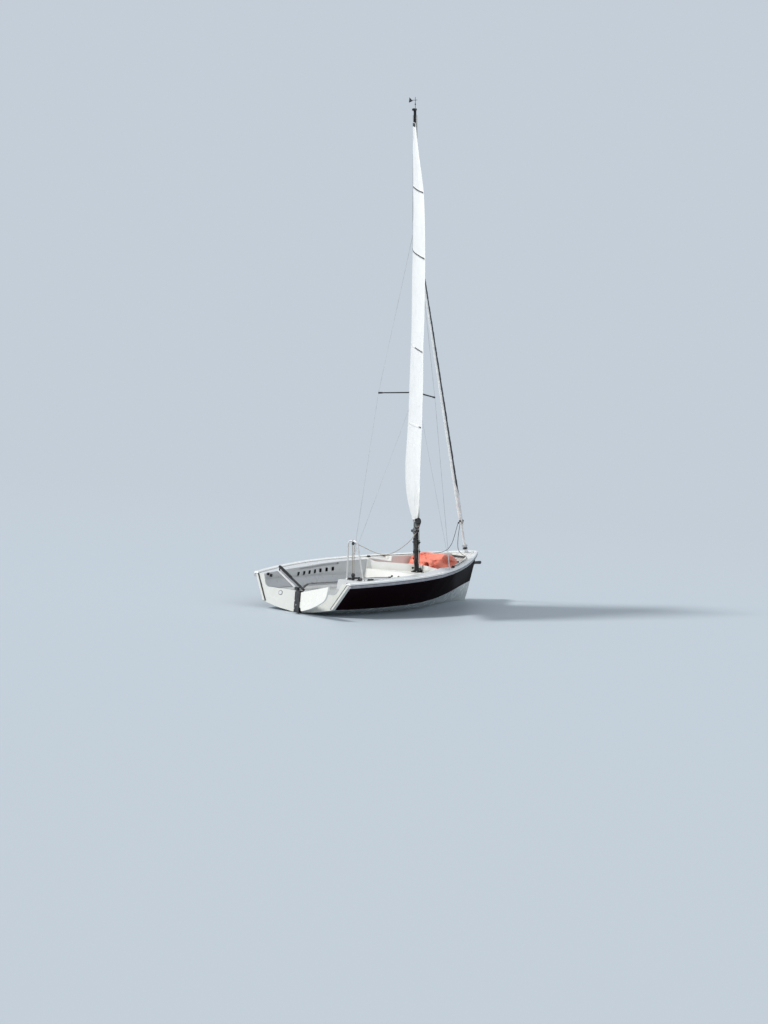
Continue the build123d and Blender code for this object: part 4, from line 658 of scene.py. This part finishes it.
def cleat(shape, centre, fore=(1, 0, 0), top=(0, 0, 1), size=1.0):
    """A cam cleat: a base, two toothed jaws and a fairlead hoop."""
    fore, top, centre = Vector(fore).normalized(), Vector(top).normalized(), Vector(centre)
    left = top.cross(fore)

    def at(ahead, across, high):
        return centre + (fore * ahead + left * across + top * high) * size

    shape.slab(at(0, 0, 0.003), Vector((0.062, 0.036, 0.006)) * size, fore, top)
    for way in (-1, 1):
        out = way * 0.012
        shape.rod(at(0, out, 0.006), at(0, out, 0.022), 0.0095 * size, 0.0085 * size, 18)
        shape.rod(at(0, out, 0.021), at(0, out, 0.025), 0.004 * size, sides=10)
        shape.slab(at(-0.008, out / 2, 0.014), Vector((0.016, 0.006, 0.014)) * size, fore + left * way * 0.5, top)
    hoop = [at(0.026, cos(k * pi / 10) * 0.012, 0.006 + sin(k * pi / 10) * 0.016) for k in range(11)]
    shape.tube(hoop, 0.0022 * size, 8, up=fore)


def pulley(shape, centre, axis, radius, way):
    """A block: two cheeks, a grooved wheel between them and a strap along way."""
    axis, way, centre = Vector(axis).normalized(), Vector(way).normalized(), Vector(centre)

    def at(out, along=0.0):
        return centre + (axis * out + way * along) * radius

    for side in (-1, 1):
        shape.rod(at(side * 0.36), at(side * 0.48), radius, radius * 0.86, 24)
        shape.slab(at(side * 0.52, 0.45), Vector((1.7, 0.5, 0.1)) * radius, way, axis)
    shape.rod(at(-0.34), at(0), radius * 0.84, radius * 0.6, 24)
    shape.rod(at(0), at(0.34), radius * 0.6, radius * 0.84, 24)
    shape.rod(at(-0.58), at(0.58), radius * 0.2, sides=12)
    shape.rod(at(-0.5, 1.25), at(0.5, 1.25), radius * 0.16, sides=10)


# Stowed gennaker: the heap's solid, remeshed, grown as cloth so that it buckles into folds, then creased.
# All of it stays clear of the bowsprit.
SPRIT_HEIGHT = 0.536
HEAP_CELL = 0.0105
FOLD_REACH = 0.034
CLOTH_FRAMES = 20
copy = added("stowed_gennaker_copy", NODES["stowed_gennaker"].data.copy())
given(copy.modifiers.new("fine", "REMESH"), mode="VOXEL", voxel_size=HEAP_CELL)
bpy.context.view_layer.update()
heap_mesh = bpy.data.meshes.new_from_object(copy.evaluated_get(bpy.context.evaluated_depsgraph_get()))
bpy.data.objects.remove(copy)
heap_low, heap_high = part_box("stowed_gennaker")


def smooth(mesh, times):
    for _ in range(times):
        bmesh.ops.smooth_vert(mesh, verts=mesh.verts, factor=0.5, use_axis_x=True, use_axis_y=True,
                              use_axis_z=True)


def sprit_room(place):
    """0 beside the bowsprit, 1 where the cloth may move."""
    return min(1.0, max(0.0, (hypot(place.y, place.z - SPRIT_HEIGHT) - 0.046) / 0.05))


folds = bmesh.new()
folds.from_mesh(heap_mesh)
smooth(folds, 6)
folds.normal_update()
for vertex in folds.verts:
    wide = noise.noise(Vector((vertex.co.x * 6.0, vertex.co.y * 4.0, vertex.co.z * 5.0 + 7.3)))
    vertex.co += vertex.normal * (0.016 * wide - 0.006) * sprit_room(vertex.co)
folds.to_mesh(heap_mesh)
soft = added("gennaker_soft", heap_mesh)
held = soft.vertex_groups.new(name="held")
for vertex in heap_mesh.vertices:
    base = min(1.0, max(0.0, (heap_low[2] + 0.05 - vertex.co.z) / 0.04))
    held.add([vertex.index], max(1.0 - sprit_room(vertex.co), base * 0.9), "REPLACE")
settings = given(soft.modifiers.new("cloth", "CLOTH").settings, quality=5, mass=0.25, tension_stiffness=14,
                 compression_stiffness=9, shear_stiffness=4, bending_stiffness=0.25, vertex_group_mass="held",
                 shrink_min=-0.42, use_pressure=True, uniform_pressure_force=0.35)
settings.effector_weights.gravity = 0.0
for step in range(1, CLOTH_FRAMES + 1):
    scene.frame_set(step)
result = soft.evaluated_get(bpy.context.evaluated_depsgraph_get()).data
for vertex, after in zip(folds.verts, result.vertices):
    moved = after.co - vertex.co
    if moved.length > FOLD_REACH:
        moved *= FOLD_REACH / moved.length
    vertex.co += moved
scene.frame_set(1)
bpy.data.objects.remove(soft)
smooth(folds, 1)
bmesh.ops.subdivide_edges(folds, edges=folds.edges[:], cuts=1, use_grid_fill=True, smooth=0.6)
folds.normal_update()
goals = []
for vertex in folds.verts:
    place = vertex.co
    x, y, z = place
    bend = noise.noise(place * 5.0)
    ridge = 1.0 - abs(noise.noise(Vector((x * 9 + bend * 2, y * 13 - bend * 3, z * 9)))) * 3.0
    crease = 1.0 - abs(noise.noise(Vector((x * 22 + y * 14, y * 9 + bend * 5, z * 26)))) * 3.4
    push = (0.0045 * (ridge - 0.4) + 0.0022 * (crease - 0.4)) * sprit_room(place)
    goal = place + vertex.normal * push
    goal.z = min(max(goal.z, heap_low[2] + 0.004), heap_high[2] + 0.008)
    goal.y = min(max(goal.y, heap_low[1] - 0.004), heap_high[1] + 0.004)
    goals.append(goal)
for vertex, goal in zip(folds.verts, goals):
    vertex.co = goal
heap = Shape(folds).done("gennaker_bundle", "orange", sharp=180, outward=False)
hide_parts("stowed_gennaker")

# Net over the front of the well, with a rope round its edge
edge = [v.co for v in NODES["well_net"].data.vertices]
net_aft, net_fore = min(c.x for c in edge), max(c.x for c in edge)
NET_INSET, NET_STRANDS = 0.004, 15
net_wide = max(abs(c.y) for c in edge) - NET_INSET
net_slim = max(abs(c.y) for c in edge if c.x > (net_aft + net_fore) / 2) - NET_INSET
net_low, net_high = min(c.z for c in edge) + NET_INSET, max(c.z for c in edge) - NET_INSET


def on_net(across, ahead):
    half = net_wide + (net_slim - net_wide) * ahead
    sag = 0.01 * (1 - across ** 2) * sin(pi * ahead)
    return Vector((net_aft + 0.006 + (net_fore - net_aft - 0.012) * ahead, half * across,
                   net_low + (net_high - net_low) * ahead - sag))


net = Shape()
for way in (-1, 1):
    for k in range(-NET_STRANDS, NET_STRANDS + 1):
        line = []
        for step in range(25):
            ahead = step / 24
            across = way * (k / NET_STRANDS * 2.0 + 1.1 * (ahead - 0.5))
            if abs(across) <= 1.0:
                line.append(on_net(across, ahead) + Vector((0, 0, 0.0012 * way)))
        if len(line) > 2:
            net.tube(line, 0.0019, 5)
rim = ([on_net(-1 + k / 10, 0) for k in range(20)] + [on_net(1, k / 8) for k in range(8)]
       + [on_net(1 - k / 8, 1) for k in range(16)] + [on_net(-1, 1 - k / 8) for k in range(8)])
net.tube(rim, 0.0046, 8, closed=True)
net = net.done("well_net_mesh", "black_rope")
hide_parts("well_net")

# Toe straps: webbing under a soft sleeve, sewn and clamped at both ends
STRAP_SIDE = 0.33
straps, stitches, clamps = Shape(), Shape(), Shape()


def ease(value):
    value = min(1.0, max(0.0, value))
    return value * value * (3 - 2 * value)


def strap_z(x):
    return 0.2424 + 0.069 * ease((x - 0.575) / 0.21) * ease((2.425 - x) / 0.21)


for side in (-1, 1):
    def strap_at(x, across, rise):
        return Vector((x, side * STRAP_SIDE + across, strap_z(x) + rise))

    straps.grid(lambda a, b: strap_at(0.522 + 1.956 * b, (a - 0.5) * 0.043,
                                      0.0012 * sin(pi * a) + 0.0016 * sin(b * 23 + a * 2)), 8, 120)
    straps.grid(lambda a, b: strap_at(0.86 + 1.2 * b, cos(a * 2 * pi) * 0.0245, 0.0012 + sin(a * 2 * pi) * 0.0042
                                      + 0.0012 * sin(b * 60 + a * 3)), 16, 90, closed=True)
    for start, way in ((0.6, 1), (2.4, -1)):
        for row in range(5):
            stitches.tube([strap_at(start + way * 0.005 * k, (row - 2) * 0.0085, 0.0034 + 0.0008 * (k % 2))
                           for k in range(13)], 0.0006, 4)
    for middle in (0.549, 2.451):
        clamps.slab((middle, side * STRAP_SIDE, 0.2478), (0.026, 0.056, 0.003))
        for end in (-0.019, 0.019):
            across = side * STRAP_SIDE + end
            clamps.rod((middle, across, 0.249), (middle, across, 0.2515), 0.0042, 0.0034, 12)
straps = straps.done("toe_strap_webbing", "web", thick=0.0026, outward=False)
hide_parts("toe_straps")
stitches.done("strap_stitches", "thread")
clamps.done("strap_clamps", "steel", bevel=0.0008)

# Shroud ends, the lower shrouds and the spreader boots
# Parts at a shroud's foot: start and end along it, the radius at both, and the sides
SHROUD_PARTS = ((0.02, 0.05, 0.0042, 0.0042, 14), (0.046, 0.128, 0.0072, 0.0072, 16),
                (0.124, 0.16, 0.0045, 0.0045, 14), (0.158, 0.215, 0.0052, 0.0036, 12))
ends, wires, boots = Shape(), Shape(), Shape()
for side in (-1, 1):
    foot = min((v.co for v in NODES["shrouds"].data.vertices if v.co.y * side > 0), key=lambda c: c.z).copy()
    tip = on_mast(-0.259, side * 0.4413, 2.49)
    way = (tip - foot).normalized()
    for near, far, radius, end_radius, sides in SHROUD_PARTS:
        ends.rod(foot + way * near, foot + way * far, radius, end_radius, sides)
    for face in (-1, 1):
        ends.slab(foot + Vector((0, face * 0.0052, 0.006)), (0.016, 0.0025, 0.04), top=way)
    ends.rod(foot + Vector((0, -0.011, -0.008)), foot + Vector((0, 0.011, -0.008)), 0.0035, sides=10)
    root = on_mast(-0.006, side * 0.0345, 2.43)
    start = foot + Vector((0.014, 0.0, -0.004))
    low = (root - start).normalized()
    wires.rod(start + low * 0.1, root, 0.0021, sides=8)
    ends.rod(start, start + low * 0.06, 0.004)
    ends.rod(start + low * 0.055, start + low * 0.11, 0.0055, 0.004, 12)
    ends.slab(on_mast(0.0, side * 0.0345, 2.435), (0.03, 0.004, 0.06), MAST_FORE, MAST_UP)
    ends.rod(on_mast(0.0, side * 0.03, 4.65), on_mast(0.0, side * 0.043, 4.63), 0.0085, 0.006, 12)
    boot = on_mast(-0.256, side * 0.432, 2.49)
    out = (boot - on_mast(-0.023, side * 0.032, 2.49)).normalized()
    boots.rod(boot - out * 0.05, boot - out * 0.006, 0.0105, 0.0125, 14)
    boots.ball(boot, 0.015, (1.1, 0.9, 0.9))
ends.done("shroud_ends", "steel", bevel=0.0006)
wires.done("lower_shrouds", "steel")
boots.done("spreader_boots", "plastic")

# Mast: sail track, halyards, cleats, the blocks at its foot and its bands
track = Shape()
for side in (-1, 1):
    track.slab(on_mast(-0.0345, side * 0.0046, 2.6), (0.005, 0.0034, 4.05), MAST_FORE, MAST_UP)
    track.tube([on_mast(-0.0345 + 0.0138 * k / 12, side * 0.0046, 4.62 + 1.6 * k / 12) for k in range(13)],
               0.0024, 6)
track.done("mast_track", "spar")
lines, pale_lines = Shape(), Shape()
for side, fore, shape in ((1, -0.01, lines), (1, 0.012, pale_lines), (-1, -0.01, pale_lines),
                          (-1, 0.012, lines)):
    shape.tube([on_mast(fore * (1 - 0.3 * k / 10), side * (0.0365 - 0.0125 * max(0.0, k - 7.2) / 2.8),
                        0.1 + 6.12 * k / 10) for k in range(11)], 0.0026, 8)
lines.done("halyards_black", "black_rope")
pale_lines.done("halyards_white", "white_rope")
mast_bits = Shape()
for side in (-1, 1):
    cleat(mast_bits, on_mast(0.0, side * 0.0322, 0.4), MAST_UP, (0, side, 0))
    cleat(mast_bits, on_mast(0.006, side * 0.0322, 0.27), MAST_UP, (0, side, 0), 0.85)
    pulley(mast_bits, on_mast(0.0, side * 0.06, 0.028), MAST_FORE, 0.016, (0, -side, 0.25))
mast_bits.slab(on_mast(0.036, 0.0, 4.665), (0.012, 0.03, 0.07), MAST_FORE, MAST_UP)
pulley(mast_bits, on_mast(-0.03, 0.0, 6.296), (0, 1, 0), 0.017, -MAST_UP)
mast_bits.done("mast_fittings", "plastic", bevel=0.0006)
bands = Shape()
for height in (0.69, 0.6, 4.4):
    bands.tube([on_mast(cos(k * PART_24) * 0.0328, sin(k * PART_24) * 0.0328, height) for k in range(24)],
               0.0052, 6, closed=True, flat=0.25, up=MAST_UP)
bands.done("mast_bands", "tape")

# Mainsheet: slack between the block on the hoop and the block under the boom
MAINSHEET_WIDTH = 0.009
MAINSHEET_ROUTE = ((1.268, -0.018, 0.867), (1.283, -0.042, 0.863), (1.295, -0.07, 0.854),
                   (1.302, -0.1, 0.845), (1.31, -0.14, 0.831), (1.32, -0.19, 0.812),
                   (1.333, -0.25, 0.791), (1.348, -0.325, 0.769), (1.366, -0.405, 0.758),
                   (1.385, -0.5, 0.774), (1.412, -0.605, 0.836), (1.44, -0.712, 0.935),
                   (1.458, -0.785, 1.022), (1.466, -0.818, 1.09))
line = bpy.data.objects.new("mainsheet_line", nurbs("mainsheet_line", MAINSHEET_ROUTE))
read = bpy.data.meshes.new_from_object(line)
path = [v.co.copy() for v in read.vertices]
bpy.data.objects.remove(line)
mainsheet = Shape().tube(path, MAINSHEET_WIDTH / 2, 10).done("mainsheet", "sheet_rope", None, outward=False)
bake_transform(mainsheet)

# The hoop's block, its two falls down to the block on the case, and the boom's own fittings
CASE_TOP = 0.3775
hoop_bits, falls, boom_bits, boom_lines = Shape(), Shape(), Shape(), Shape()
pulley(hoop_bits, (1.266, 0.0, 0.864), (1, 0, 0), 0.019, (0, 0, 1))
hoop_bits.tube([(1.252 + 0.0145 * sin(k * PART_16), 0.0, 0.897 + 0.0145 * cos(k * PART_16)) for k in range(16)],
               0.003, 6, closed=True, up=(0, 1, 0))
for side in (-1, 1):
    falls.rod((1.268, side * 0.013, 0.858), (1.331, side * 0.013, 0.462), 0.0042, sides=10)
    for ahead in (1.352, 1.44):
        cleat(hoop_bits, (ahead + 0.02, side * 0.075, CASE_TOP))
hoop_bits.done("hoop_fittings", "plastic", bevel=0.0006)
falls.done("hoop_falls", "sheet_rope")
for distance, radius in ((1.65, 0.02), (0.86, 0.016)):
    pulley(boom_bits, on_boom(distance, -0.077), BOOM_WAY.cross(BOOM_UP), radius, BOOM_UP)
    boom_bits.slab(on_boom(distance, -0.048), (0.03, 0.05, 0.008), BOOM_WAY, BOOM_UP)
boom_bits.slab(on_boom(2.2, 0.0455), (0.11, 0.018, 0.006), BOOM_WAY, BOOM_UP)
boom_bits.slab(on_boom(0.42, -0.006, 0.0335), (0.08, 0.004, 0.03), BOOM_WAY, BOOM_UP)
for side in (1, -1):
    cleat(boom_bits, on_boom(0.3, -0.008, side * 0.0345), BOOM_WAY, BOOM_SIDE * side, 0.8)
for side, reach in ((-1, 2.3), (1, 0.86)):
    boom_lines.tube([on_boom(0.33 + (reach - 0.33) * k / 8, -0.008, side * 0.0372) for k in range(9)], 0.0026, 8)
for height in (0.0452, 0.0475):
    boom_lines.tube([on_boom(2.25, height, -0.004), on_boom(2.34, height + 0.0004, 0.0),
                     on_boom(2.4, height - 0.004, 0.002)], 0.0024, 8, up=BOOM_SIDE)
strap = [on_boom(1.65, 0.046 * sin(k * PART_24), 0.0352 * cos(k * PART_24)) for k in range(24)]
boom_lines.tube(strap, 0.0045, 6, closed=True, flat=0.3, up=BOOM_WAY)
clew_loop = [on_boom(2.318 + 0.014 * sin(k * PART_24), 0.05 * sin(k * PART_24 + QUARTER) + 0.002,
                     0.0362 * cos(k * PART_24 + QUARTER)) for k in range(24)]
boom_lines.tube(clew_loop, 0.0026, 7, closed=True, up=BOOM_WAY)
boom_bits.done("boom_fittings", "plastic", "boom", bevel=0.0006)
boom_lines.done("boom_lines", "black_rope", "boom")

# Kicker tackle beside its strut
kick_foot, kick_top = on_mast(-SWING, 0.0, 0.11) + Vector((-0.03, -0.016, 0.004)), on_boom(0.625, -0.05)
kick = kick_top - kick_foot
kick_blocks, kick_lines = Shape(), Shape()
for share, size in ((0.14, 0.013), (0.36, 0.015), (0.8, 0.015)):
    for side in (-1, 1):
        pulley(kick_blocks, kick_foot + kick * share + BOOM_SIDE * side * 0.018, BOOM_SIDE, size, kick)
for side in (-1, 1):
    for off in (0.014, 0.022):
        beside = kick_foot + BOOM_SIDE * side * off
        kick_lines.rod(beside + kick * 0.15, beside + kick * 0.79, 0.0023, sides=8)
kick_blocks.done("kicker_blocks", "plastic", "boom", bevel=0.0005)
kick_lines.done("kicker_lines", "black_rope", "boom")

# Furler: line round the drum, the swivel at the jib's head, and the hub of the vane
drum_line, swivel, vane = Shape(), Shape(), Shape()
for turn in range(6):
    drum_line.ring(on_stay(0.0345 + 0.0058 * turn), STAY_WAY, 0.025 + 0.0006 * (turn % 2), 0.003, 26, 7)
swivel.rod(on_stay(4.548), on_stay(4.566), 0.013, 0.015, 18)
swivel.rod(on_stay(4.57), on_stay(4.6), 0.015, 0.01, 18)
hub = on_mast(0.01, 0.0, 6.28 + 0.072)
vane.rod(hub, hub + MAST_UP * 0.022, 0.0085, 0.006, 14)
drum_line.done("furler_line", "black_rope")
swivel.done("jib_swivel", "plastic", bevel=0.0006)
vane.done("vane_hub", "plastic", bevel=0.0003)

# Tiller: the extension's soft grip; rudder: its bolts
TILLER_TILT = radians(16)
ARM_LIFT = 0.066
tiller_way = (TILLER_WAY * cos(TILLER_TILT) + Vector((0, 0, sin(TILLER_TILT)))).normalized()
tiller_foot = on_rudder(-0.02, 0.0, 0.306)
reach = [(v.co - tiller_foot).dot(tiller_way) for v in NODES["tiller_extension"].data.vertices]
near, far_out = min(reach), max(reach)


def arm_point(distance):
    return (tiller_foot + tiller_way * distance + Vector((0, 0, ARM_LIFT)) * cos(TILLER_TILT)
            - TILLER_WAY * ARM_LIFT * sin(TILLER_TILT))


grip, bolts = Shape(), Shape()
marks = [near + (far_out - near) * (0.52 + 0.46 * k / 46) for k in range(47)]
grip.tube([arm_point(d) for d in marks], [0.0182 + (0.0011 if k % 2 else 0.0) for k in range(47)], 18)
grip.done("tiller_grip", "foam", "rudder", sharp=60)
for distance, height in ((-0.076, 0.112), (-0.03, 0.06), (-0.03, 0.16), (0.0, 0.285), (-0.04, 0.285)):
    for side in (-1, 1):
        spot = on_rudder(distance, 0.0, height)
        out = TILLER_SIDE * side
        spot = met("rudder_stock", spot + out * 0.2, -out)
        if spot:
            bolts.rod(spot[0] - out * 0.001, spot[0] + out * 0.0045, 0.0075, 0.0068, 6)
            bolts.rod(spot[0], spot[0] + out * 0.0018, 0.0105, sides=20)
bolts.done("rudder_bolts", "steel", "rudder", bevel=0.0004)

# Near-black plates of painted shade in the slots of the side tanks, the slots' rims, rings round the drain bungs,
# cleats, and black tubes of painted shadow along the transom's rims
SLOT_FIRST, SLOT_PITCH, SLOT_COUNT = 1.05, 0.148, 7
SLOT_HALF, SLOT_HALF_HIGH, SLOT_BESIDE = 0.0304, 0.0274, 0.066
SLOT_LEAST_DEPTH, SLOT_LEAST_RAYS = 0.012, 20
bpy.context.view_layer.update()
shade_plates, slot_rims, bung_rings, quarters = Shape(), Shape(), Shape(), Shape()
for side in (-1, 1):
    tank = "side_tank_port" if side > 0 else "side_tank_starboard"

    def face_at(x, z):
        """The tank's inner face at a place along it, as seen from the cockpit."""
        return met(tank, (x, side * 0.1, z), (0, side, 0))

    for k in range(SLOT_COUNT):
        # The recess is 62 by 56 mm and its floor lies along the boat: rays that reach the floor give its height
        x = SLOT_FIRST + SLOT_PITCH * k
        deep = []
        for step in range(160):
            z = 0.3 + 0.002 * step
            spot, before, after = (face_at(x + ahead, z) for ahead in (0.0, -SLOT_BESIDE, SLOT_BESIDE))
            if spot and before and after and (abs(spot[0].y) - 0.5 * (abs(before[0].y) + abs(after[0].y))
                                              > SLOT_LEAST_DEPTH):
                if abs(spot[1].z) < 0.02 and (not deep or z - deep[-1] < 0.003):
                    deep.append(z)
                    floor_y = spot[0].y
            elif 0 < len(deep) < SLOT_LEAST_RAYS:
                deep = []
            elif deep:
                break
        if len(deep) < SLOT_LEAST_RAYS:
            continue
        middle = (deep[0] + deep[-1]) / 2
        lip, floor = [], []
        for way_x, way_z in ((-1, -1), (1, -1), (1, 1), (-1, 1)):
            face = face_at(x + way_x * 0.036, middle + way_z * 0.0272)
            lip.append(Vector((x + way_x * SLOT_HALF, face[0].y, middle + way_z * SLOT_HALF_HIGH)))
            floor.append(Vector((lip[-1].x, floor_y - side * 0.0009, lip[-1].z)))
        inner = [spot + Vector((0.0, side * 0.0008, 0.0)) for spot in lip]
        # Painted shade: near-black plates on the walls and floor of each recess
        shade_plates.grid(lambda a, b: floor[round(a * 4) % 4].lerp(inner[round(a * 4) % 4], b), 4, 1)
        shade_plates.grid(lambda a, b: floor[0].lerp(floor[1], a).lerp(floor[3].lerp(floor[2], a), b), 1, 1)
        rim = []
        for step in range(28):
            turn = 2 * pi * step / 28
            a = 0.5 + 0.52 * copysign(abs(cos(turn)) ** 0.4, cos(turn))
            b = 0.5 + 0.52 * copysign(abs(sin(turn)) ** 0.4, sin(turn))
            rim.append(lip[0].lerp(lip[1], a).lerp(lip[3].lerp(lip[2], a), b) - Vector((0.0, side * 0.0004, 0.0)))
        slot_rims.tube(rim, 0.0024, 8, closed=True, up=(0, 1, 0))
    spot = met("transom", (-0.6, side * 0.29 + 0.034, 0.222), (1, 0, 0))
    if spot:
        bung_rings.ring(spot[0] + Vector((0, -0.034, 0)) + spot[1] * 0.001, spot[1], 0.0275, 0.0028, 30, 8)
    for x, z in ((0.2, 0.424), (0.29, 0.4)):
        spot = face_at(x, z)
        if spot:
            cleat(quarters, spot[0], (1, 0, 0), spot[1], 0.9)
# Painted shadow: a black tube in the inner corner of each transom rim, standing for the shadow gap beside the rim
rim_shadow_tubes = Shape()
for side in (-1, 1):
    line = []
    for step in range(12):
        z = 0.1 + 0.032 * step
        last = None
        for slip in range(150):
            spot = met("transom", (-0.6, side * (0.45 + 0.002 * slip), z), (1, 0, 0))
            if spot and last and last[0].x - spot[0].x > 0.01:
                line.append(last[0] + Vector((-0.005, -side * 0.006, 0.0)))
                break
            last = spot
    if len(line) > 3:
        rim_shadow_tubes.tube(line, 0.0075, 8, up=(1, 0, 0))
rim_shadow_tubes.done("rim_painted_shadow", "plastic")
shade_plates.done("slot_shade_plates", "recess_shade", thick=0.0005)
slot_rims.done("slot_rims", "grey")
bung_rings.done("bung_rings", "plastic", bevel=0.0004)
for side in (-1, 1):
    cleat(quarters, (2.842, side * 0.672, 0.584))
quarters.done("deck_cleats", "plastic", bevel=0.0005)

# Case top: cleats and the board's lines; mast step bolts; the bowsprit's end cap and ring
case_bits, case_lines, step_bolts, sprit_bits = Shape(), Shape(), Shape(), Shape()
for side in (-1, 1):
    for x in (1.58, 1.66):
        cleat(case_bits, (x, side * 0.105, CASE_TOP), size=0.9)
    for off in (0.0, 0.012):
        case_lines.tube([(1.6 + 0.07 * k, side * (0.105 + off) * (1 - 0.55 * max(0, k - 8) / 5), 0.38
                          + (0.011 if k < 1 else 0.0)) for k in range(13)], 0.0028, 8)
    case_bits.slab((2.4, side * 0.052, 0.384), (0.05, 0.022, 0.014))
    pulley(case_bits, (2.46, side * 0.052, 0.396), (0, 1, 0), 0.015, (-1, 0, 0))
case_bits.done("case_cleats", "plastic", bevel=0.0006)
case_lines.done("case_lines", "black_rope")
step_low, step_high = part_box("mast_step")
for x in (step_low[0] + 0.016, step_high[0] - 0.016):
    for y in (step_low[1] + 0.013, step_high[1] - 0.013):
        spot = met("mast_step", (x, y, 0.9), (0, 0, -1))
        if spot:
            step_bolts.rod(spot[0], spot[0] + spot[1] * 0.0018, 0.0095, sides=20)
            step_bolts.rod(spot[0], spot[0] + spot[1] * 0.0055, 0.0062, 0.0056, 6)
step_bolts.done("step_bolts", "steel", bevel=0.0004)
tip = Vector((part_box("bowsprit")[1][0], 0.0, SPRIT_HEIGHT))
sprit_bits.tube([tip + Vector((x, 0, 0)) for x in (-0.06, -0.058, -0.012, -0.004, 0.001)],
                [0.0222, 0.024, 0.024, 0.0215, 0.014], 24)
sprit_bits.ring(tip + Vector((0.012, 0, 0.006)), (0, 1, 0), 0.013, 0.003, 20, 8)
sprit_bits.done("sprit_end", "plastic", "bowsprit")

# Floor, sky and sun
FLOOR_RADIUS = 300.0
PALE = rgb(196, 206, 216)
floor_mesh = bpy.data.meshes.new("floor")
shape = bmesh.new()
bmesh.ops.create_circle(shape, cap_ends=True, segments=96, radius=FLOOR_RADIUS)
shape.to_mesh(floor_mesh)
shape.free()
floor = added("floor", floor_mesh)
f = Nodes("floor_pale")
f.finish(rgb(185, 195, 204), 0.55, Specular_IOR_Level=0.2)
glow = f.add("Emission", {"Color": PALE})
far = f.add("VectorMath", {0: f.place}, operation="LENGTH")
blend = f.add("MixShader", {0: f.ramp(far.outputs["Value"], 9.0, 30.0), 1: f.shader.outputs[0],
                            2: glow.outputs[0]})
f.link(blend.outputs[0], f.out.inputs[0])
floor_mesh.materials.append(f.material)

world = bpy.data.worlds.new("sky")
scene.world = world
sky = Tree(world)
light = sky.add("Background", {"Color": (0.9, 0.95, 1.0, 1), "Strength": 0.62})
seen = sky.add("Background", {"Color": PALE})
rays = sky.add("LightPath").outputs
either = sky.add("Math", {0: rays["Is Camera Ray"], 1: rays["Is Glossy Ray"]}, operation="MAXIMUM")
choose = sky.add("MixShader", {0: either.outputs[0], 1: light.outputs[0], 2: seen.outputs[0]})
sky.add("OutputWorld", {0: choose.outputs[0]})

sun_data = given(bpy.data.lights.new("sun", "SUN"), energy=2.7, angle=radians(9), color=(1.0, 0.975, 0.94))
sun = added("sun", sun_data)
sun.rotation_euler = Vector((-0.8, 0.3, 0.8)).to_track_quat("Z", "Y").to_euler()
scene.view_settings.view_transform = "Standard"
